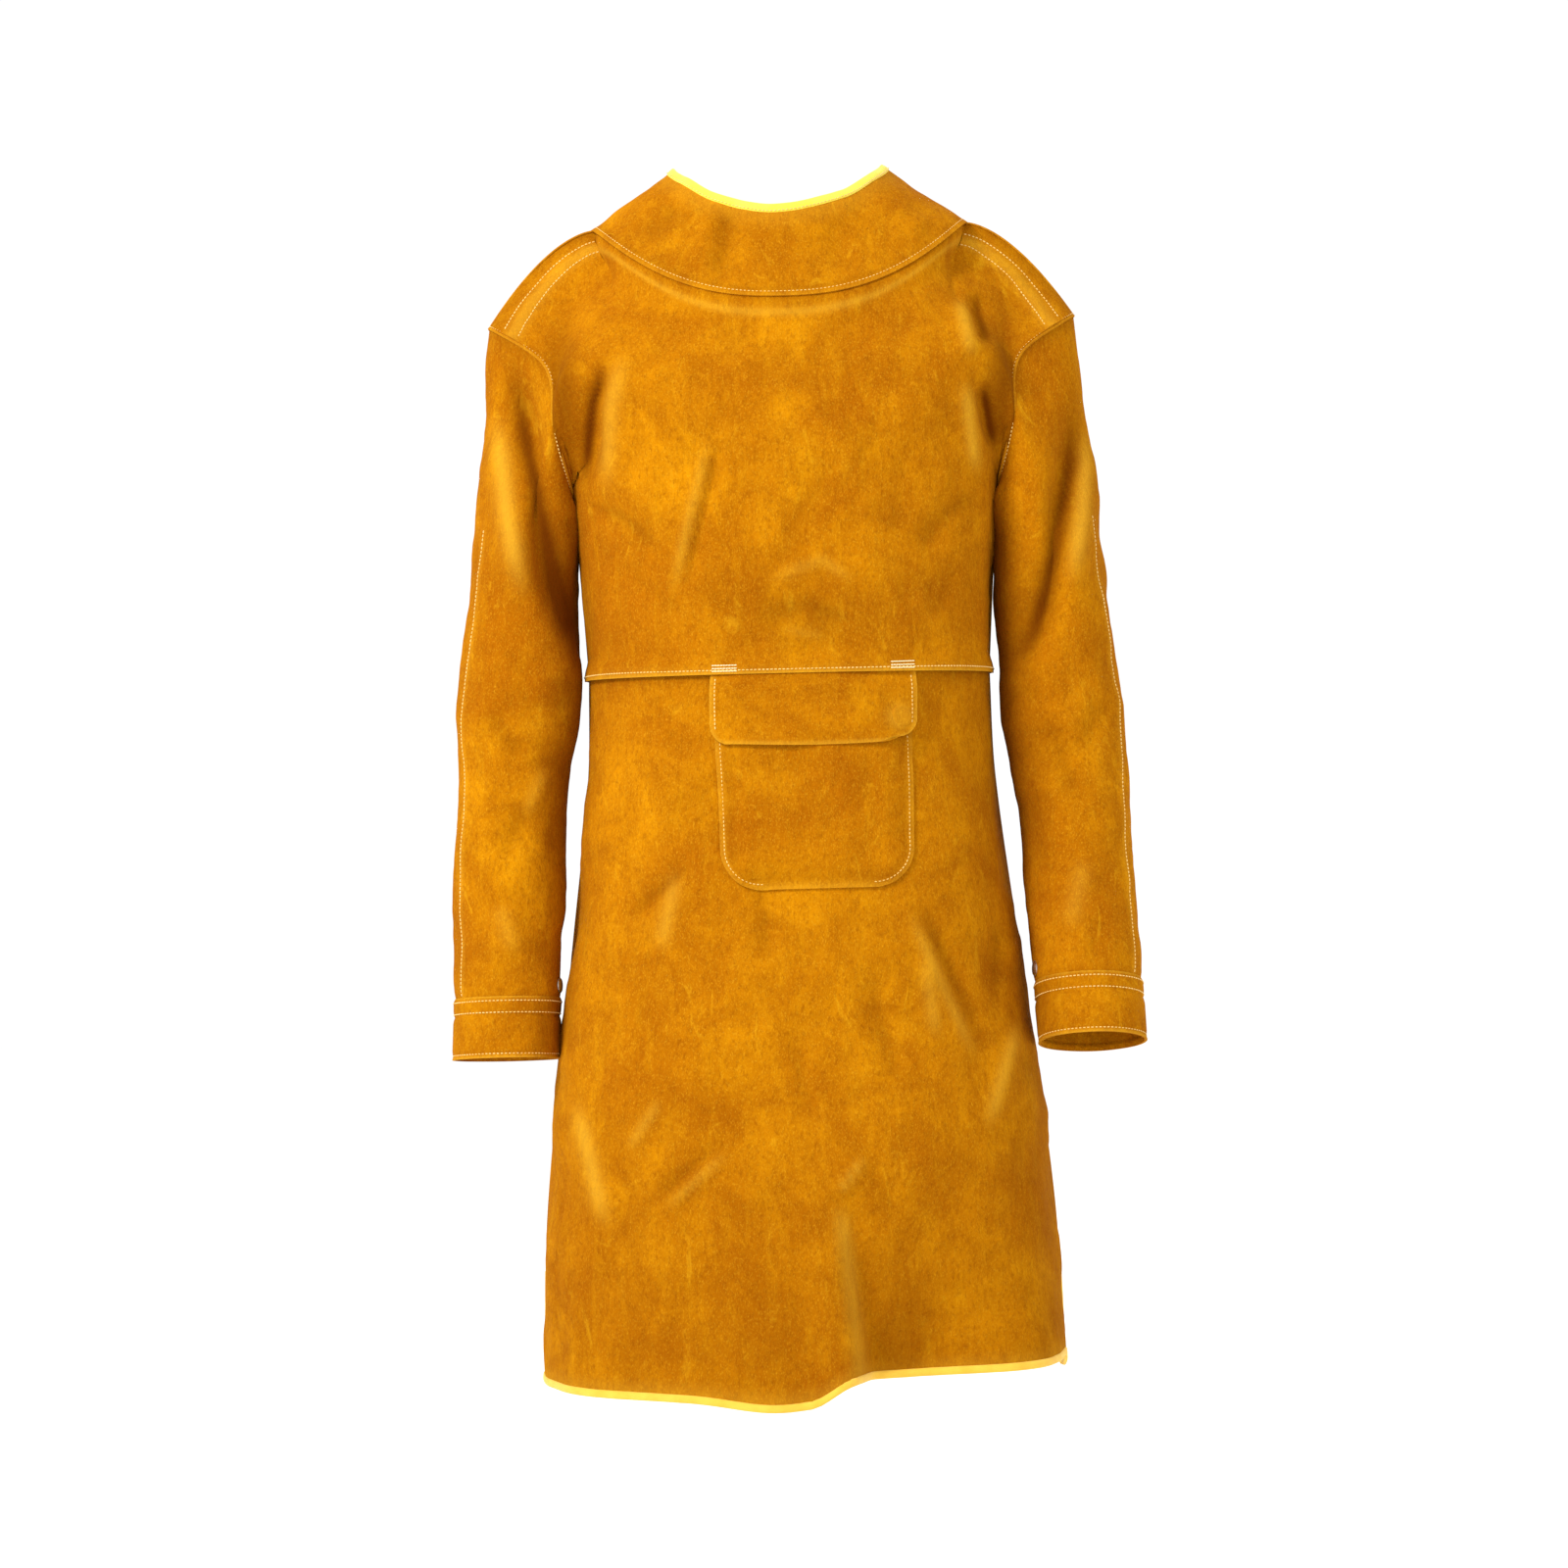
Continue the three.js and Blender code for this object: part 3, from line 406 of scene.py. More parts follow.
class Panel:
    """A displaced surface (u, v) => points in mm. outward(points) gives a direction that its face leans to."""

    def __init__(self, surface, outward=lambda p: p - stack(0, 15, p[..., 2]), round_trip=False):
        self.at = surface
        self.round_trip = round_trip
        self.sign = 1.0
        u, v = np.meshgrid(np.linspace(0.1, 0.9, 9), np.linspace(0.1, 0.9, 9))
        if np.sum(self.normal(u, v) * outward(surface(u, v))) < 0:
            self.sign = -1.0

    def normal(self, u, v, e=3e-3):
        u, v = np.broadcast_arrays(np.asarray(u, float), np.asarray(v, float))
        u0, u1 = (u - e, u + e) if self.round_trip else (np.maximum(u - e, 0), np.minimum(u + e, 1))
        along = self.at(u1, v) - self.at(u0, v)
        down = self.at(u, np.minimum(v + e, 1)) - self.at(u, np.maximum(v - e, 0))
        return self.sign * unit(np.cross(down, along))

    def build(self, name, columns, rows, thickness=LEATHER, span=(0.0, 1.0), tone=None, look=None):
        """A closed leather sheet over the rows from span[0] to span[1], shaded with the surface's own normals."""
        count = columns if self.round_trip else columns + 1
        us = np.arange(count) / columns
        vs = np.linspace(span[0], span[1], rows + 1) if isinstance(rows, int) else np.asarray(rows)
        rows = len(vs) - 1
        u, v = np.meshgrid(us, vs, indexing="ij")
        middle = self.at(u, v)
        normal = self.normal(u, v)
        high = (middle + normal * thickness / 2).reshape(-1, 3)
        low = (middle - normal * thickness / 2).reshape(-1, 3)
        n, r = len(high), rows + 1
        faces, kinds = [], []
        for i in range(columns):
            a, b = i * r, ((i + 1) % count) * r
            for j in range(rows):
                faces.append((a + j, a + j + 1, b + j + 1, b + j))
                faces.append((n + a + j, n + b + j, n + b + j + 1, n + a + j + 1))
                kinds += [1, -1]
            faces.append((a, b, n + b, n + a))
            faces.append((a + rows, n + a + rows, n + b + rows, b + rows))
            kinds += [0, 0]
        if not self.round_trip:
            end = (count - 1) * r
            for j in range(rows):
                faces.append((j, n + j, n + j + 1, j + 1))
                faces.append((end + j, end + j + 1, n + end + j + 1, n + end + j))
                kinds += [0, 0]
        piece = make(name, np.concatenate([high, low]), faces, look or LEATHER_LOOK)
        flat = normal.reshape(-1, 3)
        loops = np.zeros((len(piece.data.loops), 3))
        at = np.zeros(len(piece.data.loops), np.int64)
        piece.data.loops.foreach_get("vertex_index", at)
        side = np.repeat(kinds, 4)
        loops[side > 0] = flat[at[side > 0] % n]
        loops[side < 0] = -flat[at[side < 0] % n]
        piece.data.normals_split_custom_set(loops.tolist())
        shades = np.zeros((2, 2 * n))
        if tone:
            for shade, share in zip(shades, tone(u, v, middle)):
                shade[:n] = np.clip(np.broadcast_to(share, u.shape).ravel(), 0, 1)
        paint(piece, *shades)
        return piece

    def cut(self, span=(0.0, 1.0)):
        """(width, length, area) in metres of the leather before it was hung."""
        u, v = np.meshgrid(np.linspace(0, 1, 80), np.linspace(span[0], span[1], 60), indexing="ij")
        p = self.at(u, v) * 0.001
        across = np.linalg.norm(np.diff(p, axis=0), axis=-1)
        down = np.linalg.norm(np.diff(p, axis=1), axis=-1)
        side = np.cross(p[1:, :-1] - p[:-1, :-1], p[:-1, 1:] - p[:-1, :-1])
        area = float(np.linalg.norm(side, axis=-1).sum())
        width, length = float(across.sum(0).max()), float(down.sum(1).max())
        return width, length, max(0.31 * width * length, min(area, width * length))


def declare(panel, span=(0.0, 1.0)):
    width, length, area = panel.cut(span)


def stands_for(piece, slot, *nodes):
    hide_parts(*nodes)


def strip(name, path, across, normal, width, thick, look, closed=False):
    """A rounded band along a path: bound edges, and the raised ridges of felled seams."""
    turns = 2 * np.pi * np.arange(12) / 12
    a = width / 2 * np.sign(np.cos(turns)) * np.abs(np.cos(turns)) ** 0.6
    b = thick / 2 * np.sign(np.sin(turns)) * np.abs(np.sin(turns)) ** 0.8
    points = path[:, None] + across[:, None] * a[None, :, None] + normal[:, None] * b[None, :, None]
    n = len(path)
    faces = [(i * 12 + j, i * 12 + (j + 1) % 12, (i + 1) % n * 12 + (j + 1) % 12, (i + 1) % n * 12 + j)
             for i in range(n if closed else n - 1) for j in range(12)]
    if not closed:
        faces += [tuple(reversed(range(12))), tuple(range((n - 1) * 12, n * 12))]
    made = make(name, points.reshape(-1, 3), faces, look)
    paint(made, 0.12)
    return made


def along(panel, us, vs, lift=0.0):
    """Points, sideways directions and normals along a path on a panel."""
    us, vs = np.broadcast_arrays(np.asarray(us, float), np.asarray(vs, float))
    normal = panel.normal(us, vs)
    points = panel.at(us, vs) + normal * lift
    forward = unit(np.gradient(points, axis=0))
    return points, unit(np.cross(normal, forward)), normal


def stitches(name, rows, pitch=3.5, length=2.9, radius=0.5, look=None):
    """One object of short thread lengths, each end sunk in the leather. rows is a list of (points, normals)."""
    points, faces = [], []
    for path, normal in rows:
        run = np.concatenate([[0], np.cumsum(np.linalg.norm(np.diff(path, axis=0), axis=1))])
        count = max(2, int(run[-1] / pitch))
        at = (np.arange(count) + 0.5) * run[-1] / count

        def placed(values, offset=0.0):
            return np.stack([np.interp(at + offset, run, values[:, k]) for k in range(3)], -1)

        spots, ups = placed(path), unit(placed(normal))
        ahead = placed(path, 0.5) - placed(path, -0.5)
        ahead = unit(ahead - ups * np.sum(ahead * ups, -1, keepdims=True))
        side = np.cross(ups, ahead)
        for c, up, go, off in zip(spots, ups, ahead, side):
            start = len(points)
            points.append(c - go * length / 2 - up * 0.7 * radius)
            for k in (-0.28, 0.28):
                for j in range(6):
                    turn = math.pi * j / 3
                    points.append(c + go * k * length + radius * (off * math.cos(turn) + up * (math.sin(turn) + 0.25)))
            points.append(c + go * length / 2 - up * 0.7 * radius)
            for j in range(6):
                k = (j + 1) % 6
                faces += [(start, start + 1 + k, start + 1 + j), (start + 13, start + 7 + j, start + 7 + k),
                          (start + 1 + j, start + 1 + k, start + 7 + k, start + 7 + j)]
    made = make(name, points, faces, look or THREAD)
    return made


def row(panel, us, vs, lift=LEATHER / 2):
    points, _, normal = along(panel, us, vs, lift)
    return points, normal

# ---------------------------------------------------------------- the body's surfaces


def section(angle):
    return np.abs(np.sin(angle)) ** (2 / ROUNDNESS), np.abs(np.cos(angle)) ** (2 / ROUNDNESS)


def neck_line(face, angle):
    depth, drop, power = (105, 73, 2.4) if face < 0 else (95, 11, 1)
    sine = np.clip(np.sin(angle), 0, 1)
    return 165 * sine, depth * np.cos(angle), SHOULDER_TOP - drop * (1 - sine ** power)


def bodice(face, q, v):
    s = np.minimum(1, np.abs(q))
    nx, ny, nz = neck_line(face, np.radians(90 * np.minimum(s / NECK_SHARE, 1)))
    k = np.clip((s - NECK_SHARE) / (1 - NECK_SHARE), 0, 1)
    on_neck = s < NECK_SHARE
    tx = np.where(on_neck, nx, mix(165, 261, k))
    ty = np.where(on_neck, ny, 0)
    tz = np.where(on_neck, nz, SHOULDER_TOP - 84 * k ** 1.7)
    edge = mix(SHOULDER_TIP, WAIST, v)
    wide, deep = section(np.radians(90 * s))
    t = np.clip(v / UNDERARM_SHARE, 0, 1)
    edge_hole = 124 * np.sqrt(t * (1 - t))
    hole = mix(62 * np.sin(np.pi * t) ** 1.6, edge_hole, s ** 7)
    depth = BODICE_DEPTH[face](edge)
    early = np.clip(2 * v, 0, 1)
    x = BODICE_HALF_WIDTH(edge) * mix(tx / 261, wide, np.clip(v / 0.3, 0, 1))
    spread = 1 - (1 - early) ** 2
    y = mix(ty, (depth - hole) * deep, spread) + hole * mix(spread, 1, s ** 5) + mix(1.2, 0.25, early)
    return stack(np.sign(q) * x, face * y, mix(tz, WAIST + 0.25, v))


def skirt(face, q, z):
    wide, deep = section(np.radians(90 * np.minimum(1, np.abs(q))))
    return stack(np.sign(q) * SKIRT_HALF_WIDTH(z) * wide, face * (SKIRT_DEPTH[face](z) * deep + 0.25), z)


def beside_seam(face, z, inset):
    return np.degrees(np.arccos((inset / SKIRT_DEPTH[face](z)) ** (ROUNDNESS / 2))) / 90


def skirt_edge(face, z):
    """The place across the skirt where its leather ends: at the seam, and by the vent inside its tape."""
    return mix(1.0, beside_seam(face, z, 5.0), smooth(VENT_TOP + 4, VENT_TOP - 4, z))


def turned_out(surface, outward):
    """The unit normals of a plain surface (a, b) => points."""

    def normal(a, b, ea=2e-3, eb=2e-3):
        n = unit(np.cross(surface(a, b + eb) - surface(a, b - eb), surface(a + ea, b) - surface(a - ea, b)))
        facing = np.sign(np.sum(n * outward(surface(a, b)), -1, keepdims=True))
        return n * np.where(facing == 0, 1, facing)

    return normal


def from_axis(p):
    return p * np.array([1, 1, 0]) + np.array([0, 0, 1e-3])


def rumple(p, seed, big=3.4, small=1.6, fine=0.5):
    return big * lumps(p, 82, seed) + small * lumps(p, 31, seed + 1) + fine * lumps(p, 11, seed + 2)


FELL = 0.045  # the share of the bodice's rows where the shoulder seam's ridge lies
FRONT_CREASES = [  # (line of x and z, width, height), a pleat's crest or its valley
    ([(-53, -183), (-74, -262), (-91, -332)], 7, -3.7), ([(-63, -185), (-84, -262), (-101, -330)], 8, 3.0),
    ([(-152, -112), (-168, -158), (-178, -230)], 11, -13), ([(-136, -108), (-150, -160), (-158, -240)], 15, 3.4),
    ([(-176, -238), (-140, -258), (-104, -290)], 11, -4.1), ([(172, -236), (136, -262), (112, -300)], 12, -3.9),
    ([(170, -60), (182, -116)], 9, -9), ([(156, -66), (166, -126)], 12, 4.6), ([(174, -140), (186, -204)], 9, -11),
    ([(158, -140), (168, -230)], 12, 4.6),
    ([(52, -200), (10, -262), (-20, -330)], 12, -1.8), ([(120, -150), (96, -230), (90, -300)], 16, -2.1),
    ([(-20, -318), (30, -300), (62, -322)], 9, 2.1), ([(-30, -352), (20, -338), (60, -356)], 9, -2.3),
    ([(-140, -300), (-80, -352)], 10, -1.8), ([(150, -296), (118, -362)], 10, -2.1), ([(-6, -360), (34, -366)], 7, 1.8),
]


def front_bodice_point(u, v):
    q = mix(-1, 1, u)
    p = bodice(-1, q, v)
    x, z = p[..., 0], p[..., 2]
    free = smooth(0, 0.05, v) * smooth(1, 0.94, np.abs(q))
    d = free * rumple(p, 3)
    d = creased(d, x, z, FRONT_CREASES)
    ledge = smooth(-378, -391, z)
    shoulder = smooth(NECK_SHARE - 0.03, NECK_SHARE + 0.02, np.abs(q))
    d = d * (1 - 0.7 * ledge) + 4.2 * ledge
    d = d + 1.5 * hump(v, FELL, 0.012) * shoulder
    d = d - 1.6 * hump(v, 0, 0.012) * (1 - shoulder)
    return p + front_bodice_normal(q, v) * d[..., None] + stack(0, 0, -3.5 * ledge)


front_bodice_normal = turned_out(lambda a, b: bodice(-1, a, np.clip(b, 0, 1)), from_axis)

SKIRT_CREASES = [
    ([(176, -610), (172, -690)], 9, -3.7), ([(104, -590), (166, -736)], 11, -4.4), ([(96, -600), (156, -742)], 10, 3.4),
    ([(-150, -612), (-84, -556)], 10, -4.1), ([(-30, -560), (-26, -655)], 12, -3.4),
    ([(-150, -808), (-118, -760)], 8, 3.1), ([(-128, -850), (-66, -796)], 8, -3.7),
    ([(-120, -858), (-60, -806)], 6, 3.4), ([(196, -700), (160, -800)], 12, 5.1),
    ([(-6, -700), (10, -790)], 10, -3.1), ([(60, -650), (84, -760)], 12, -3.4), ([(30, -846), (56, -812)], 7, 3.7),
    ([(-100, -560), (-118, -640)], 13, 3.4), ([(-196, -760), (-168, -880)], 15, 5.1),
    ([(110, -640), (120, -720)], 12, 3.1),
]


def front_skirt_point(q, z):
    p = skirt(-1, q, z)
    x = p[..., 0]
    d = rumple(p, 8, 4.2, 1.7) * smooth(WAIST, WAIST - 30, z) * smooth(1, 0.95, np.abs(q))
    d = creased(d, x, z, SKIRT_CREASES)
    # The deep pleat at the hem: the leather right of a crest falls back, then comes forward again.
    low = smooth(-800, -1015, z)
    crest = mix(26, 42, smooth(-850, -1020, z))
    behind = smooth(-4, 22, x - crest) * smooth(205, 110, x)
    d = d - 36 * low * behind + 9 * low * hump(x - crest, -12, 20)
    d = d + 8 * low * spot(x, z, 196, -1020, 26, 120)
    d = d + 5 * low * np.cos(x / 34 + 0.8) * smooth(20, -30, x) * smooth(-228, -170, x)
    raised = 15 * smooth(-930, -1020, z) * smooth(4, 44, x) * smooth(1, 0.9, np.abs(q))
    raised = raised - 9 * smooth(-930, -1020, z) * spot(x, z, -24, -1020, 52, 200)
    return p + front_skirt_normal(q, z) * d[..., None] + stack(0, 0, raised)


front_skirt_normal = turned_out(lambda a, b: skirt(-1, a, b), from_axis)


def across_at(surface, x):
    """The place across, from 0 to 1, where a surface (q) => points is x from the middle."""
    low, high = np.zeros(np.shape(x)), np.ones(np.shape(x))
    for _ in range(24):
        middle = (low + high) / 2
        nearer = surface(middle)[..., 0] < x
        low, high = np.where(nearer, middle, low), np.where(nearer, high, middle)
    return high


def back_bodice_point(side, u, v):
    """u runs from the opening's tape to the side seam."""
    v0 = np.clip(v, 0, 1)
    start = across_at(lambda q: bodice(1, q, v0), np.full(np.shape(v0), OPENING))
    q = side * mix(start, 1, u)
    p = bodice(1, q, v0)
    free = smooth(0, 0.05, v) * smooth(1, 0.9, np.abs(q)) * mix(0.25, 1, smooth(0, 0.25, u))
    d = free * rumple(p, 14 + side, 2.4)
    x, z = side * p[..., 0], p[..., 2]
    d = creased(d, x, z, BACK_CREASES)
    ledge = smooth(-378, -391, z)
    d = d * (1 - 0.7 * ledge) + 3.0 * ledge * smooth(0, 0.12, u)
    d = d + 1.5 * hump(v, FELL, 0.012) * smooth(NECK_SHARE - 0.03, NECK_SHARE + 0.02, np.abs(q))
    normal = turned_out(lambda a, b: bodice(1, a, np.clip(b, 0, 1)), from_axis)(q, v0)
    return p + normal * d[..., None] + stack(0, 0, -3.5 * ledge * smooth(0, 0.12, u))


BACK_CREASES = [
    ([(150, -110), (158, -215)], 12, -6), ([(60, -120), (86, -300)], 14, -2.2), ([(120, -300), (70, -360)], 11, -2),
    ([(50, -620), (64, -860)], 16, -3.0), ([(110, -560), (128, -800)], 16, 1.6),
    ([(176, -640), (186, -900)], 16, -3.5),
]


def back_skirt_point(side, u, v):
    z = mix(WAIST - 0.25, HEM + 4, v)
    start = across_at(lambda q: skirt(1, q, z), np.full(np.shape(z), OPENING))
    q = side * mix(start, skirt_edge(1, z), u)
    p = skirt(1, q, z)
    x = side * p[..., 0]
    d = rumple(p, 21 + side, 3.0, 1.2) * smooth(0, 0.05, v)
    d = d * mix(0.25, 1, smooth(0, 0.2, u)) * smooth(1, 0.94, np.abs(q))
    d = creased(d, x, z, BACK_CREASES)
    low = smooth(-700, -1015, z)
    d = d + 5 * low * np.sin(x / 22 + 0.6) * smooth(10, 60, x) * smooth(225, 190, x)
    normal = turned_out(lambda a, b: skirt(1, a, b), from_axis)(q, z)
    return p + normal * d[..., None]


def collar_base(angle, rise):
    turn = np.radians(np.abs(angle))
    front = np.abs(angle) < 90
    fx, fy, fz = neck_line(-1, np.where(front, turn, 0))
    bx, by, bz = neck_line(1, np.where(front, 0, np.pi - turn))
    x, y, z = np.where(front, fx, bx), np.where(front, fy, by), np.where(front, fz, bz)
    y = mix(np.abs(y), np.where(front, 77, 72) * np.abs(np.cos(turn)), rise)
    return stack(np.sign(angle) * mix(x, 93 * np.sin(turn), rise), np.where(front, -1, 1) * y,
                 mix(z + 2.05, COLLAR_TOP(np.abs(angle)), rise))


collar_normal = turned_out(lambda a, b: collar_base(a * COLLAR_END, b), from_axis)

COLLAR_CREASES = [
    ([(-54, -60), (-46, -12), (-40, 30)], 10, -3.8), ([(-70, -50), (-60, 20)], 11, 2.4),
    ([(60, -50), (52, 10)], 13, -2.4), ([(-128, -14), (-84, 28)], 11, -3), ([(132, -18), (84, 30)], 13, 2.6),
]


def collar_point(angle, rise):
    p = collar_base(angle, rise)
    x, z = p[..., 0], p[..., 2]
    free = smooth(-0.05, 0.25, rise) * smooth(COLLAR_END, COLLAR_END - 14, np.abs(angle))
    d = creased(free * rumple(p, 31, 2.2, 1.2), x, z, COLLAR_CREASES) + 0.7 * hump(rise, -0.03, 0.05)
    return p + collar_normal(angle / COLLAR_END, rise) * d[..., None]


def armhole_ring(turn):
    v = UNDERARM_SHARE * (1 - np.cos(turn)) / 2
    edge = bodice(-1, 1, v)
    return stack(edge[..., 0], -62 * np.sin(turn), edge[..., 2])


SLEEVE_LENGTH = 382.0  # from the level section to the cuff
UPPER_RUN = SLEEVE_LEVEL - ELBOW_Z
ARMS = {"left": (-1, 6.0), "right": (1, 14.0)}  # side, and degrees that the forearm leans forwards
SPLAY = 0.035  # how far the forearm leads outwards for each mm down
ROOT_SHARE = 0.32  # share of the sleeve's rows above the level section


def sleeve_base(tilt, turn, v):
    """The right sleeve's plain tube: v from 0 at the armhole to 1 at the cuff, and 1.14 at the cuff's foot."""
    ring = armhole_ring(turn)
    level = stack(mix(191.0, 283.0, (1 + np.cos(turn)) / 2), ELBOW_Y - 68 * np.sin(turn), SLEEVE_LEVEL)
    t = np.clip(v / ROOT_SHARE, 0, 1)[..., None]
    root = ring + (level - ring) * t
    run = np.clip((v - ROOT_SHARE) / (1 - ROOT_SHARE), 0, 2) * SLEEVE_LENGTH
    steps = np.linspace(0, 460, 461)
    lean = np.radians(tilt) * smooth(90, 170, steps)
    ys = ELBOW_Y - np.concatenate([[0], np.cumsum(np.sin(lean[:-1]))])
    zs = SLEEVE_LEVEL - np.concatenate([[0], np.cumsum(np.cos(lean[:-1]))])
    angle = np.radians(tilt) * smooth(90, 170, run)
    z = SLEEVE_LEVEL - np.minimum(run, UPPER_RUN)
    down = np.maximum(run - UPPER_RUN, 0)
    upper = run < UPPER_RUN
    x = np.where(upper, (SLEEVE_OUT(z) + SLEEVE_IN(z)) / 2, ELBOW_X + SPLAY * down)
    wide = np.where(upper, (SLEEVE_OUT(z) - SLEEVE_IN(z)) / 2, FOREARM_WIDTH(down))
    deep = np.where(upper, SLEEVE_DEPTH(z), FOREARM_DEPTH(down))
    tube = stack(x + wide * np.cos(turn), np.interp(run, steps, ys) - deep * np.sin(turn) * np.cos(angle),
                 np.interp(run, steps, zs) + deep * np.sin(turn) * np.sin(angle))
    return np.where((v < ROOT_SHARE)[..., None], root, tube)


SLEEVE_CREASES = {
    "left": [([(243, -88), (231, -172), (219, -233), (207, -313), (195, -368), (180, -400)], 14, -12),
             ([(256, -150), (246, -250), (232, -330)], 14, 6), ([(268, -420), (236, -470)], 12, -3),
             ([(230, -500), (262, -560)], 12, -2.6), ([(262, -590), (246, -640)], 13, 2.2),
             ([(216, -470), (238, -520)], 9, 2.2)],
    "right": [([(259, -140), (254, -212), (237, -293), (219, -364), (192, -411)], 14, -12),
              ([(270, -170), (264, -250), (250, -330)], 14, 6), ([(280, -420), (250, -480)], 13, -3),
              ([(226, -430), (252, -520)], 13, -3.4), ([(256, -560), (238, -630)], 13, 2.4),
              ([(270, -610), (252, -660)], 10, -2)],
}


def sleeve_panel(name):
    side, tilt = ARMS[name]

    def base(u, v):
        return sleeve_base(tilt, 2 * np.pi * u, v)

    base_normal = turned_out(base, lambda p: p - stack(245, 3, p[..., 2]))

    def point(u, v):
        u, v = np.broadcast_arrays(np.asarray(u, float), np.asarray(v, float))
        p = base(u, v)
        turn = 2 * np.pi * u
        free = smooth(0, 0.07, v) * smooth(1.0, 0.96, v)
        d = free * rumple(p * [side, 1, 1], 41 + side, 3.2, 1.4)
        ahead = smooth(-0.1, 0.35, np.sin(turn))
        behind = smooth(-0.1, 0.35, -np.sin(turn))
        x, z = p[..., 0], p[..., 2]
        d = d + free * DRAPE(z) * hump(np.degrees(turn), 146, 30)
        for line, wide, height in SLEEVE_CREASES[name]:
            d = d + free * 1.25 * height * stroke(x, z, line, wide) * ahead
        for k, (z0, height) in enumerate([(-400, 3.0), (-424, -3.4), (-448, 3.0), (-474, -2.6), (-500, 2.0)]):
            line = [(196, z0 + 16 - 6 * k), (232, z0), (262, z0 + 6)]
            d = d + free * height * stroke(x, z, line, 8) * ahead * 0.55
            d = d + free * height * stroke(x, z, [(210, z0), (250, z0 - 10), (286, z0 + 4)], 9) * behind * 0.5
        d = d + 1.5 * (hump(turn, np.radians(SEAM_TURN), 0.055) * smooth(0.24, 0.32, v))
        # The forearm tapers in and stands off the cuff a little, gathered by the cuff's seam.
        d = d + 1.4 * smooth(0.90, 0.965, v) * smooth(1.0, 0.985, v)
        return (p + base_normal(u, v) * d[..., None]) * [side, 1, 1]

    return Panel(point, lambda p: p - stack(side * 245, 3, p[..., 2]), round_trip=True)


DRAPE = profile([(-540, 0), (-480, 8), (-430, 14), (-340, 12), (-260, 9), (-195, 0)])
SEAM_TURN = 37.0  # degrees round the sleeve of its topstitched outer seam

# ---------------------------------------------------------------- front panels


def crease_tone(creases, x, z, share=0.5, wear=0.075, shown=1.0):
    """Pale wear with a painted highlight on the crests and painted shade in the valleys, over a share of each crease's
    width.
    """
    worn, deep = 0.0, 0.0
    for line, wide, height in creases:
        mark = stroke(x, z, line, share * wide) * shown
        if height > 0:
            worn = worn + mark * (wear * height)
        else:
            deep = deep - mark * (0.075 * height)
    return worn, deep


def front_tone(u, v, p):
    x, z = p[..., 0], p[..., 2]
    worn, deep = crease_tone(FRONT_CREASES, x, z)
    # Painted highlight along the waist ledge's edge and the shoulder seam's ridge.
    worn = worn + 0.35 * smooth(0.985, 1.0, v) + 0.25 * hump(v, FELL, 0.012)
    # Painted shade in the armhole folds, along the top edge under the collar and shoulder seam, in the fold above the
    # waist's middle and towards the side seams.
    deep = deep + 0.65 * spot(np.abs(x), z, 194, -152, 15, 62) + 0.25 * smooth(0.03, 0.0, v)
    deep = deep + 0.28 * spot(x, z, 20, -346, 55, 22)
    deep = deep + 0.4 * smooth(0.93, 1.0, np.abs(mix(-1, 1, u))) * smooth(0.1, 0.4, v)
    return worn * (1 - np.clip(deep, 0, 1)), deep


front_panel = Panel(front_bodice_point)
turned = UNDERARM_SHARE * (1 - np.cos(np.pi * np.linspace(0, 1, 56))) / 2
BODICE_ROWS = np.concatenate([turned, np.linspace(UNDERARM_SHARE, 1, 44)[1:]])
front_bodice = front_panel.build("leather_front_bodice", 150, BODICE_ROWS, tone=front_tone)
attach(front_bodice, "coat")
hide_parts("front_bodice")


def front_skirt_uv(u, v):
    z = mix(WAIST - 0.25, HEM + 4, v)
    return front_skirt_point(mix(-1, 1, u) * skirt_edge(-1, z), z)


def skirt_tone(u, v, p):
    x, z = p[..., 0], p[..., 2]
    worn, deep = crease_tone(SKIRT_CREASES, x, z)
    # Lighter just above the hem, and a painted highlight on the crest of the pleat at the hem.
    worn = worn + 0.22 * smooth(0.97, 1.0, v) + 0.35 * stroke(x, z, [(48, -1012), (40, -930), (32, -850)], 6, 0.15)
    # Painted shade under the waist seam, in the pleat's valley at the hem and towards the side seams.
    deep = deep + 0.35 * smooth(0.03, 0.0, v) + 0.30 * spot(x, z, 84, -1000, 26, 60)
    deep = deep + 0.30 * smooth(0.95, 1.0, np.abs(mix(-1, 1, u)))
    # Painted shade of the light falling off towards the bottom and towards the right.
    deep = deep + 0.16 * smooth(-700, -980, z) + 0.12 * smooth(40, 220, x)
    return worn * (1 - np.clip(deep, 0, 1)), deep


skirt_panel = Panel(front_skirt_uv)
front_skirt = skirt_panel.build("leather_front_skirt", 140, 150, tone=skirt_tone)
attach(front_skirt, "coat")
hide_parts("front_skirt")

us = np.linspace(0.004, 0.996, 140)
waist_rows = stitches("stitches_waist_front", [row(front_panel, us, 0.990)])
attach(waist_rows, "coat")


def skirt_q(x, z):
    return np.sign(x) * np.degrees(np.arcsin(np.clip((np.abs(x) / SKIRT_HALF_WIDTH(z)) ** (ROUNDNESS / 2), 0, 1))) / 90


hem_z = HEM + 3.7
hem_q = np.linspace(-1, 1, 150) * beside_seam(-1, hem_z, 1.0)
hem_path = front_skirt_point(hem_q, np.full(hem_q.shape, hem_z))
below, above = (front_skirt_point(hem_q, np.full(hem_q.shape, hem_z + step)) for step in (-2, 2))
hem_down = unit(below - above)
hem_out = unit(np.cross(hem_down, np.gradient(hem_path, axis=0)))
hem_front = strip("tape_hem_front", hem_path, hem_down, hem_out, HEM_TAPE_WIDTH, TAPE_THICKNESS, HEM_LOOK)
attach(hem_front, "coat")
stands_for(hem_front, "binding", "hem_binding_front")
declare(front_panel)
declare(skirt_panel)

# ---------------------------------------------------------------- back panels and their tapes

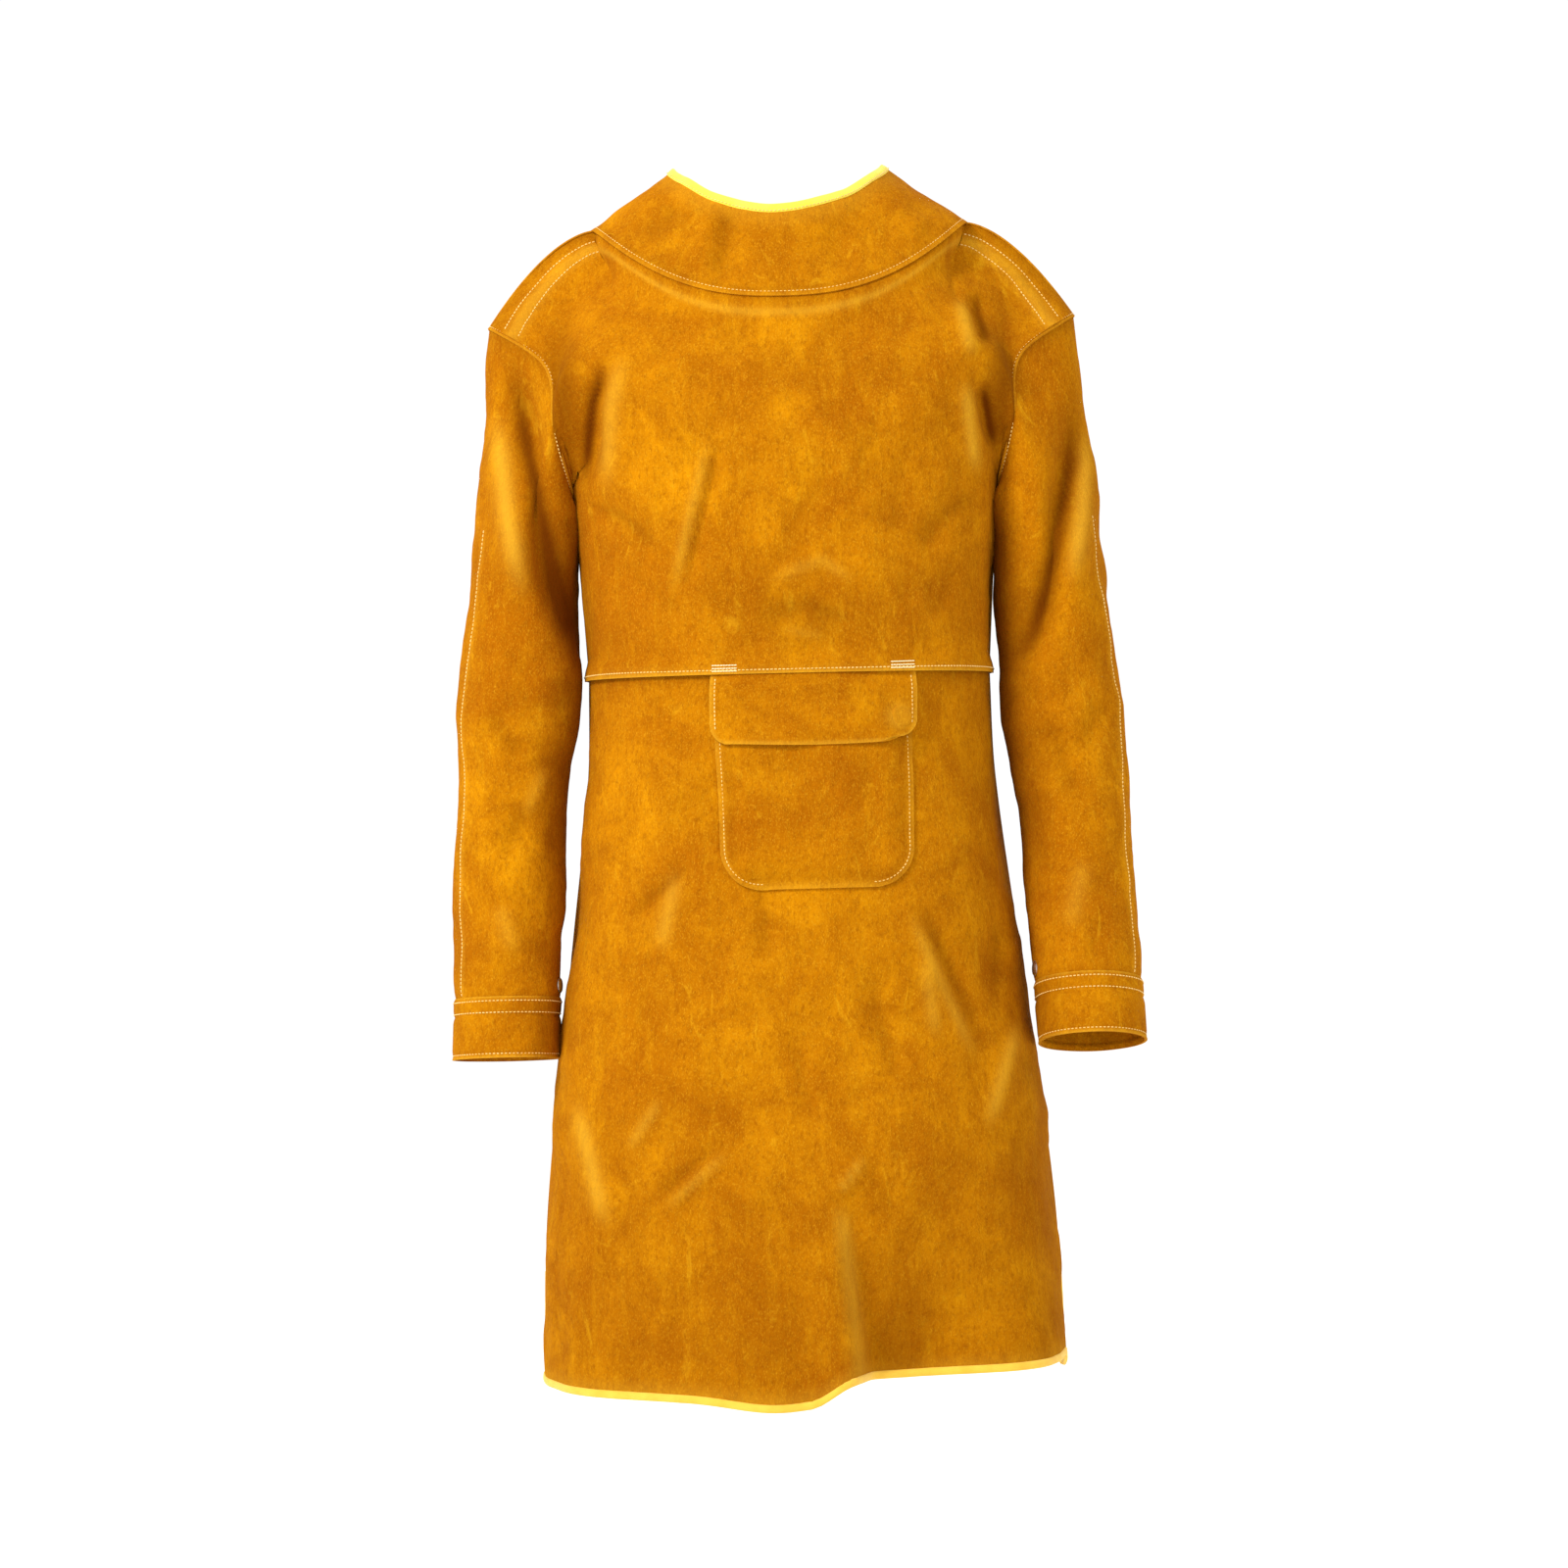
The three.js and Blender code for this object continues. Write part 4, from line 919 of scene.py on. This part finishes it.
for name, side in (("left", -1), ("right", 1)):
    def fold(piece):
        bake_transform(piece)

    upper = Panel(lambda u, v, s=side: back_bodice_point(s, u, v))
    lower = Panel(lambda u, v, s=side: back_skirt_point(s, u, v))

    def back_tone(u, v, p):
        worn, deep = crease_tone(BACK_CREASES, p[..., 0] * side, p[..., 2])
        # Lighter along the bottom edge, a painted highlight on the bodice's waist ledge; painted shade towards the side
        # seam and along the top edge.
        return worn + 0.3 * smooth(0.985, 1.0, v), deep + 0.3 * smooth(0.93, 1.0, u) + 0.2 * smooth(0.05, 0.0, v)

    bodice_back = upper.build(f"leather_back_bodice_{name}", 76, BODICE_ROWS, tone=back_tone)
    skirt_back = lower.build(f"leather_back_skirt_{name}", 72, 140, tone=back_tone)
    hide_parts(f"back_bodice_{name}", f"side_back_bodice_{name}")
    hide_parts(f"back_skirt_{name}", f"side_back_skirt_{name}")
    fold(bodice_back)
    fold(skirt_back)
    us = np.linspace(0.03, 0.995, 80)
    rows = stitches(f"stitches_waist_back_{name}", [row(upper, us, 0.990)])
    fold(rows)

    # The tape down the opening's edge, over bodice and skirt.
    vs = np.linspace(0, 1, 70)
    path = np.concatenate([upper.at(0 * vs, vs), lower.at(0 * vs, vs)[2:]])
    path[:, 0] = side * 6.8
    path[-1, 2] = HEM
    towards = np.tile([1.0, 0, 0], (len(path), 1))
    out = unit(np.cross(towards, np.gradient(path, axis=0)))
    edge = strip(f"tape_edge_{name}", path, towards, out, 10.4, 4.0, HEM_LOOK)
    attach(edge, f"back_{name}")
    stands_for(edge, "binding", f"edge_binding_{name}")
    thread = stitches(f"stitches_edge_{name}", [(path + out * 2.0 + towards * side * 2.6, out)])
    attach(thread, f"back_{name}")

    # The tape along the hem of the back.
    us = np.linspace(0.0, 1, 80)
    foot = lower.at(us, 1.0)
    down = unit(foot - lower.at(us, 0.99))
    hem = strip(f"tape_hem_back_{name}", foot + down * 0.5, down, lower.normal(us, 1.0), HEM_TAPE_WIDTH,
                TAPE_THICKNESS, HEM_LOOK)
    stands_for(hem, "binding", f"hem_binding_back_{name}", f"hem_binding_side_{name}")
    fold(hem)

    # The tape along the back neckline, from the opening to under the collar's end.
    us = np.linspace(0.0, 0.60, 50)
    top = upper.at(us, 0.012)
    down = unit(upper.at(us, 0.03) - upper.at(us, 0.0))
    neck = strip(f"tape_neck_{name}", top, down, upper.normal(us, 0.015), TAPE_WIDTH, TAPE_THICKNESS,
                 COLLAR_LOOK)
    stands_for(neck, "binding", f"neck_binding_back_{name}", f"neck_binding_side_{name}")
    fold(neck)

    # The vents' tapes, front and back of each side seam.
    for where, face in (("front", -1), ("back", 1)):
        zs = np.linspace(VENT_TOP, HEM + 3, 24)

        def beside(inset, f=face, s=side, heights=zs):
            q = s * beside_seam(f, heights, inset)
            return front_skirt_point(q, heights) if f < 0 else skirt(1, q, heights)

        path = beside(5.5)
        towards = unit(beside(1.0) - beside(10.0))
        out = unit(np.cross(towards, np.gradient(path, axis=0)))
        vent = strip(f"tape_vent_{where}_{name}", path, towards, out, TAPE_WIDTH, TAPE_THICKNESS, HEM_LOOK)
        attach(vent, "coat")
        stands_for(vent, "binding", f"vent_binding_{where}_{name}")

    declare(upper)
    declare(lower)

    # Felled seams: over the shoulder, down the side, and round the armhole.
    q = side * np.linspace(NECK_SHARE, 1, 40)
    path = bodice(-1, q, 0.0)
    path[:, 1] = 0
    path[:, 2] += 0.6
    ahead = unit(np.gradient(path, axis=0))
    out = unit(np.cross(ahead, np.tile([0.0, 1, 0], (40, 1))))
    out = out * np.sign(out[:, 2:3])
    shoulder = strip(f"seam_shoulder_{name}", path, np.tile([0.0, 1, 0], (40, 1)), out, 8, 2.4, LEATHER_LOOK)
    vs = np.linspace(UNDERARM_SHARE - 0.03, 1, 40)
    path = np.concatenate([bodice(-1, side, vs), skirt(-1, side, np.linspace(WAIST - 4, VENT_TOP + 2, 70))])
    path[:, 1] = 0
    path[:, 0] += side * 0.4
    out = np.tile([float(side), 0, 0], (len(path), 1))
    seam = strip(f"seam_side_{name}", path, np.tile([0.0, 1, 0], (len(path), 1)), out, 7, 3.0, LEATHER_LOOK)
    turns = np.linspace(0, 2 * np.pi, 121)[:-1]
    path = armhole_ring(turns) * [side, 1, 1]
    radial = unit(path - path.mean(0))
    ahead = unit(np.roll(path, -1, 0) - np.roll(path, 1, 0))
    armhole = strip(f"seam_armhole_{name}", path - radial * 0.2, unit(np.cross(ahead, radial)), radial, 5.4, 3.0,
                    LEATHER_LOOK, closed=True)
    threads = [(path + radial * 1.3, radial)]
    us = 0.5 + 0.5 * side * np.linspace(NECK_SHARE + 0.01, 0.99, 40)
    threads += [row(front_panel, us, 0.028), row(front_panel, us, 0.054)]
    sewn = stitches(f"stitches_shoulder_{name}", threads)
    for piece in (shoulder, seam, armhole, sewn):
        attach(piece, "coat")

# ---------------------------------------------------------------- collar


COLLAR_RISE = 0.955  # the leather ends here, inside its tape, as a share of the collar's height
LEATHER_END = COLLAR_END - 1.6


def collar_uv(u, v):
    return collar_point(mix(-1, 1, u) * LEATHER_END, mix(-0.04, COLLAR_RISE, v))


def collar_tone(u, v, p):
    x, z = p[..., 0], p[..., 2]
    # Lighter along the foot, a painted highlight, and towards the free edge.
    worn = 0.10 * hump(v, 0, 0.03) + 0.15 * smooth(0.7, 1.0, v)
    # Painted shade in the crease valleys, and in a band just above the foot.
    painted_crease_shade = creased(0.0, x, z, [([(-56, -60), (-48, -12), (-42, 24)], 12, 0.25), ([(-120, -14), (-84, 24)], 10, 0.25)])
    return worn, painted_crease_shade + 0.18 * hump(v, 0.075, 0.03)


collar_panel = Panel(collar_uv)
collar = collar_panel.build("leather_collar", 150, 36, tone=collar_tone)
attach(collar, "coat")
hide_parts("collar")


def collar_edge(t):
    """(share of the way round, rise) up one end of the collar, along its free edge and down its other end."""
    if t < 1:
        return -1.0, mix(-0.02, COLLAR_RISE, t)
    if t < 2:
        return mix(-1.0, 1.0, t - 1), COLLAR_RISE
    return 1.0, mix(COLLAR_RISE, -0.02, t - 2)


places = [*np.linspace(0, 0.97, 14), *np.linspace(1.01, 1.99, 120), *np.linspace(2.03, 3, 14)]
path, out, towards = [], [], []
for t in places:
    share, rise = collar_edge(t)
    angle = share * LEATHER_END
    here = collar_point(np.array(angle), np.array(rise))
    on_top = smooth(0.93, 1.07, t) * smooth(2.07, 1.93, t)
    outer = collar_point(np.array(angle * (1 + 0.02 * (1 - on_top))), np.array(rise + 0.05 * on_top))
    path.append(here)
    towards.append(outer - here)
    out.append(collar_normal(np.array(angle / COLLAR_END), np.array(rise)))
path, towards, out = np.array(path), unit(np.array(towards)), np.array(out)
binding = strip("tape_collar", path + towards * 0.5, towards, out, TAPE_WIDTH, 4.6, COLLAR_LOOK)
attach(binding, "coat")
stands_for(binding, "binding", "collar_binding")
us = np.linspace(0.01, 0.99, 150)
neck_rows = stitches("stitches_neck", [row(collar_panel, us, 0.05, 0.75)], radius=0.4)
tape_rows = stitches("stitches_collar_tape", [(path + out * 2.4 - towards * 2.4, out)])
for piece in (neck_rows, tape_rows):
    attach(piece, "coat")
declare(collar_panel)

# ---------------------------------------------------------------- sleeves, cuffs and cuff tabs

SPLIT_RUN = 65  # from the level section to where the upper piece hands over to the lower one

for name, (side, tilt) in ARMS.items():
    sleeve = sleeve_panel(name)

    def sleeve_tone(u, v, p):
        x, z = p[..., 0] * side, p[..., 2]
        turn = 2 * np.pi * u
        ahead = smooth(-0.1, 0.35, np.sin(turn))
        worn, deep = crease_tone(SLEEVE_CREASES[name], x, z, 0.6, 0.07, ahead)
        worn = worn + 0.15 * hump(turn, np.radians(SEAM_TURN), 0.05) * smooth(0.24, 0.3, v)
        # Painted shade down the inner side that faces the body, stronger on the right sleeve, and near the armhole.
        shade = 0.55 if side < 0 else 0.75
        deep = deep + shade * smooth(0.30, 0.95, -np.cos(turn)) * smooth(0.0, 0.2, v) * smooth(0.95, 0.6, v)
        deep = deep + 0.3 * smooth(0.03, 0.0, v)
        return worn * (1 - np.clip(deep, 0, 1)), deep

    split = ROOT_SHARE + (1 - ROOT_SHARE) * SPLIT_RUN / SLEEVE_LENGTH
    top = sleeve.build(f"leather_upper_sleeve_{name}", 96, 76, span=(0.004, split), tone=sleeve_tone)
    low = sleeve.build(f"leather_lower_sleeve_{name}", 96, 76, span=(split, 1.0), tone=sleeve_tone)
    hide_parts(f"upper_sleeve_{name}")
    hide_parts(f"lower_sleeve_{name}")

    def at_shoulder(piece):
        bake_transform(piece)

    def at_elbow(piece):
        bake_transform(piece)

    at_shoulder(top)
    at_elbow(low)
    seam_u = SEAM_TURN / 360
    high_rows = stitches(f"stitches_upper_sleeve_{name}", [row(sleeve, seam_u, np.linspace(0.26, split, 30))])
    low_rows = stitches(f"stitches_lower_sleeve_{name}", [row(sleeve, seam_u, np.linspace(split, 0.995, 110))])
    at_shoulder(high_rows)
    at_elbow(low_rows)
    declare(sleeve, span=(0.004, split))
    declare(sleeve, span=(split, 1.0))

    def cuff_point(u, v, s=side, t=tilt):
        """v from 0 above the cuff's seam to 1 at its foot."""
        turn = 2 * np.pi * u
        run = SLEEVE_LENGTH - 1.5 + (CUFF + 1.0) * v
        down = ROOT_SHARE + (1 - ROOT_SHARE) * run / SLEEVE_LENGTH
        p = sleeve_base(t, turn, down)
        n = unit(p - sleeve_base(t, turn + np.pi, down))
        d = 1.3 + 0.8 * lumps(p * [s, 1, 1], 26, 55 + s) * smooth(0.0, 0.2, v)
        d = d + 1.4 * (1 - hump(v, 0.30, 0.05)) * smooth(0.0, 0.03, v) - 0.8
        d = d - 0.9 * hump(v, 0.93, 0.03)
        return (p + n * d[..., None]) * [s, 1, 1]

    cuff_panel = Panel(cuff_point, lambda p, s=side: p - stack(s * 259, -20, p[..., 2]), round_trip=True)

    def cuff_tone(u, v, p):
        worn = 0.35 * smooth(0.93, 1.0, v) + 0.3 * smooth(0.06, 0.0, v)
        # Painted shade on the inner side of the cuff, which faces the body.
        return worn, 0.25 * smooth(0.25, 0.9, -np.cos(2 * np.pi * u))

    cuff = cuff_panel.build(f"leather_cuff_{name}", 96, 20, thickness=2.8, tone=cuff_tone)
    us = np.linspace(0, 1, 120)
    cuff_rows = stitches(f"stitches_cuff_{name}", [row(cuff_panel, us, v, 1.4) for v in (0.07, 0.25, 0.93)])
    for piece in (cuff, cuff_rows):
        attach(piece, f"lower_sleeve_{name}")
    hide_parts(f"cuff_{name}")
    declare(cuff_panel)

    def tab_point(u, v, s=side, t=tilt):
        turn = np.radians(mix(300.0, 236.0, u))
        half = 13 * np.sqrt(np.clip(1 - smooth(0.86, 1.0, u) ** 2 * 0.55, 0.1, 1))
        down = FOREARM + CUFF / 2 + half * (2 * v - 1)
        off = mix(2.6, 4.9, smooth(0.0, 0.2, u))
        wide, deep = 45 + off, 47 + off
        p = stack(wide * np.cos(turn) + down * SPLAY, -deep * np.sin(turn), -down)
        c, k = math.cos(math.radians(t)), math.sin(math.radians(t))
        return stack(s * (p[..., 0] + ELBOW_X), p[..., 1] * c + p[..., 2] * k + ELBOW_Y,
                     p[..., 2] * c - p[..., 1] * k + ELBOW_Z)

    tab_panel = Panel(tab_point, lambda p, s=side: p - stack(s * 259, -20, p[..., 2]))
    tab = tab_panel.build(f"leather_cuff_tab_{name}", 24, 10)
    ts = np.linspace(0, 1, 30)
    ring = [(ts * 0.82 + 0.04, 0.12), (0.90, 0.12 + 0.76 * ts), (0.86 - ts * 0.82, 0.88)]
    tab_rows = stitches(f"stitches_cuff_tab_{name}", [row(tab_panel, a, b) for a, b in ring])
    for piece in (tab, tab_rows):
        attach(piece, f"cuff_tab_{name}")
    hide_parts(f"cuff_tab_{name}")
    declare(tab_panel)

# ---------------------------------------------------------------- pocket and flap


POCKET_X, POCKET_FOOT, POCKET_CORNER, POCKET_HEIGHT = 20, -584, 35, 170
POCKET_HALF, POCKET_HALF_LOW = 86, 84
FLAP_TOP, FLAP_LENGTH, FLAP_HALF = -396, 62, 88
SNAP_Z = -437


def off_skirt(x, z, off):
    q = skirt_q(x, z)
    p = front_skirt_point(q, z)
    n = front_skirt_normal(q, z)
    return p + n * np.asarray(off)[..., None]


def rounded(half, corner, above):
    short = np.maximum(0, corner - above)
    return half - corner + np.sqrt(np.maximum(0, corner * corner - short * short))


def pocket_room(x, above):
    """How far the pocket's leather stands off the skirt's."""
    half = rounded(POCKET_HALF_LOW, POCKET_CORNER, above)
    inside = np.minimum(half - np.abs(x), above)
    return 2.2 + (4.2 * smooth(0, 30, inside) + 0.9 * smooth(2, 7, inside)) * mix(0.2, 1, smooth(168, 105, above))


def pocket_point(u, v):
    above = POCKET_HEIGHT * (1 - v) + 0.4
    half = rounded(POCKET_HALF - 4 * v, POCKET_CORNER, above)
    x = half * mix(-1, 1, u)
    room = pocket_room(x * POCKET_HALF_LOW / POCKET_HALF, above)
    p = off_skirt(POCKET_X + x, POCKET_FOOT + above, room)
    inside = smooth(0, 14, np.minimum(half - np.abs(x), above))
    return p + stack(0, -1, 0) * (0.8 * lumps(p, 24, 60) * inside)[..., None]


def pocket_tone(u, v, p):
    edge = np.minimum(np.minimum(u, 1 - u), 1 - v) * POCKET_HEIGHT
    # Painted shade in a band inside the edge and across the top, under the flap; a painted highlight along the stitched
    # edge.
    deep = 0.16 * smooth(20, 9, edge) * smooth(4, 9, edge) + 0.45 * smooth(0.30, 0.18, v)
    return 0.16 * smooth(9, 0, edge), deep


pocket_panel = Panel(pocket_point, lambda p: stack(0, -1, 0 * p[..., 2]))
pocket = pocket_panel.build("leather_pocket", 72, 72, tone=pocket_tone)


def outline(inset):
    """(x, z) down one side of the pocket, round its foot and up the other side."""
    half, corner = POCKET_HALF_LOW - inset, POCKET_CORNER - inset
    bend = POCKET_FOOT + POCKET_CORNER
    left = [(-half - 2 * (1 - t), mix(-425.0, bend, t)) for t in np.linspace(0, 1, 24)]
    turn = [(-half + corner - corner * math.cos(a), bend - corner * math.sin(a))
            for a in np.linspace(0.1, math.pi / 2, 12)]
    half_line = left + turn
    mirrored = [(-x, z) for x, z in reversed(half_line)]
    return np.array(half_line + mirrored)


line = outline(5.0)
xs, zs = line[:, 0], line[:, 1]
points = off_skirt(POCKET_X + xs, zs, pocket_room(xs * 0.99, zs - POCKET_FOOT) + LEATHER / 2)
normals = front_skirt_normal(skirt_q(POCKET_X + xs, zs), zs)
pocket_rows = stitches("stitches_pocket", [(points, normals)])
for piece in (pocket, pocket_rows):
    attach(piece, "coat")
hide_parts("patch_pocket")
declare(pocket_panel)


def flap_point(u, v):
    above = 60 * (1 - v) + 0.4
    half = rounded(FLAP_HALF, 16, above)
    x = half * mix(-1, 1, u)
    z = FLAP_TOP - FLAP_LENGTH * v - 2.5 * np.sin(np.pi * u) * v + 4 * smooth(0.85, 1, u) * v
    under = pocket_room(np.clip(x, -80, 80), np.minimum(z - POCKET_FOOT, POCKET_HEIGHT))
    off = mix(2.2, under + 3.3, smooth(0.0, 0.3, v))
    p = off_skirt(POCKET_X + x, z, off)
    lift = 0.9 * lumps(p, 30, 70) * smooth(0.0, 0.3, v)
    return p - stack(0, 1, 0) * (lift + 1.6 * smooth(0.75, 1.0, v) * np.sin(np.pi * (2.2 * u + 0.2)))[..., None]


def flap_tone(u, v, p):
    ring = spot(p[..., 0], p[..., 2], POCKET_X + 74, SNAP_Z, 10, 10)
    edge = np.minimum(np.minimum(u, 1 - u) * 2 * FLAP_HALF, (1 - v) * FLAP_LENGTH)
    # Pale edges and the snap's pale print, and painted shade along the top, under the waist seam.
    return 0.30 * smooth(5, 0, edge) + 0.35 * ring, 0.25 * smooth(0.1, 0.0, v)


flap_panel = Panel(flap_point, lambda p: stack(0, -1, 0 * p[..., 2]))
flap = flap_panel.build("leather_pocket_flap", 72, 30, tone=flap_tone)
ts = np.linspace(0, 1, 60)
flap_rows = stitches("stitches_flap", [row(flap_panel, 0.025, mix(0.08, 0.8, ts)),
                                       row(flap_panel, 0.975, mix(0.8, 0.08, ts))])
# Its top edge stays sewn under the waist seam.
for piece in (flap, flap_rows):
    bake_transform(piece)
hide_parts("pocket_flap")
declare(flap_panel)
tacks = []
for low_x, high_x in ((-66, -45), (86, 106)):
    for k in range(3):
        xs = np.linspace(low_x, high_x, 12)
        tacks.append(row(front_panel, 0.5 + 0.5 * skirt_q(xs, WAIST), 0.992 - 0.006 * k))
bartacks = stitches("bartacks_flap", tacks, pitch=2.2, length=3.0, look=BARTACK)
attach(bartacks, "coat")


def disc(name, centre, facing, rings, look):
    """A turned piece from (radius, height) rings between its two middles."""
    right = unit(np.cross(facing, [0.0, 0, 1]))
    up = np.cross(right, facing)
    points = [centre + facing * rings[0][1]]
    for radius, height in rings[1:-1]:
        for k in range(40):
            turn = math.pi * k / 20
            points.append(centre + facing * height + radius * (right * math.cos(turn) + up * math.sin(turn)))
    points.append(centre + facing * rings[-1][1])
    last = len(points) - 1
    faces = [(0, 1 + k, 1 + (k + 1) % 40) for k in range(40)]
    for j in range(0, 40 * (len(rings) - 3), 40):
        faces += [(1 + j + k, 41 + j + k, 41 + j + (k + 1) % 40, 1 + j + (k + 1) % 40) for k in range(40)]
    faces += [(last, last - 40 + (k + 1) % 40, last - 40 + k) for k in range(40)]
    made = make(name, points, faces, look)
    paint(made, 0.15)
    return made


def snap(name, panel, place, lift, rings, look, body, slot, node):
    normal = panel.normal(*place)
    made = disc(name, panel.at(*place) + normal * lift, normal, rings, look)
    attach(made, body)
    stands_for(made, slot, node)


# The snap in the flap is set from behind: only its round print shows on the face.
snap("leather_snap_print", flap_panel,
     (np.array(0.5 + 0.5 * 74 / 87), np.array((FLAP_TOP - SNAP_Z) / FLAP_LENGTH)), 0.7,
     [(0, 0.9), (2.5, 0.85), (5.5, 0.65), (7.4, 0.9), (8.8, 0.6), (9.8, 0.0), (9.8, -1.2), (0, -1.2)],
     LEATHER_LOOK, "pocket_flap", "leather", "pocket_snap_cap")
snap("snap_stud_pocket", pocket_panel,
     (np.array(0.5 + 0.5 * 70 / 84), np.array(1 - (SNAP_Z - POCKET_FOOT) / POCKET_HEIGHT)), 1.0,
     [(0, 1.1), (2.2, 1.1), (2.8, 0.9), (2.8, 0.5), (4.6, 0.4), (5.0, 0.1), (5.0, -0.5), (0, -0.5)],
     METAL, "coat", "snap_metal", "pocket_snap_stud")

# ---------------------------------------------------------------- tabs across the back


def back_frame(drop):
    point = bodice(1, np.array(1e-4), np.array(drop)) * [0, 1, 1]
    below = bodice(1, np.array(1e-4), np.array(drop + 0.02)) * [0, 1, 1]
    down = unit(below - point)
    normal = np.cross([1.0, 0, 0], down)
    normal = normal * np.sign(normal[1])
    return point, down, normal


for name, drop in (("neck", 0.11), ("waist", 0.93)):
    point, down, normal = back_frame(drop)

    def strap_point(u, v, o=point, d=down, n=normal):
        along_x = mix(32.0, -32.0, u)
        half = 14 * np.sqrt(np.clip(1 - smooth(0.84, 1.0, u) ** 2 * 0.5, 0.1, 1))
        off = mix(2.6, 5.2, smooth(0.12, 0.3, u)) + 0.35 * lumps(stack(along_x, 30 * v, 0.0), 16, 80)
        return o + stack(along_x, 0, 0) + d * (half * (2 * v - 1))[..., None] + n * off[..., None]

    strap = Panel(strap_point, lambda p: stack(0, 1, 0 * p[..., 2]))
    tab = strap.build(f"leather_{name}_tab", 32, 12)
    ts = np.linspace(0, 1, 30)
    ring = [(ts * 0.84 + 0.05, 0.12), (0.91, 0.12 + 0.76 * ts), (0.89 - ts * 0.84, 0.88), (0.06, 0.88 - 0.76 * ts)]
    tab_rows = stitches(f"stitches_{name}_tab", [row(strap, a, b) for a, b in ring])
    for piece in (tab, tab_rows):
        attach(piece, f"{name}_tab")
    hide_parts(f"{name}_tab")
    declare(strap)

# ---------------------------------------------------------------- snaps

for name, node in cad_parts.items():
    if "snap" in name:
        node.data.materials.clear()
        node.data.materials.append(METAL)

low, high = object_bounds()
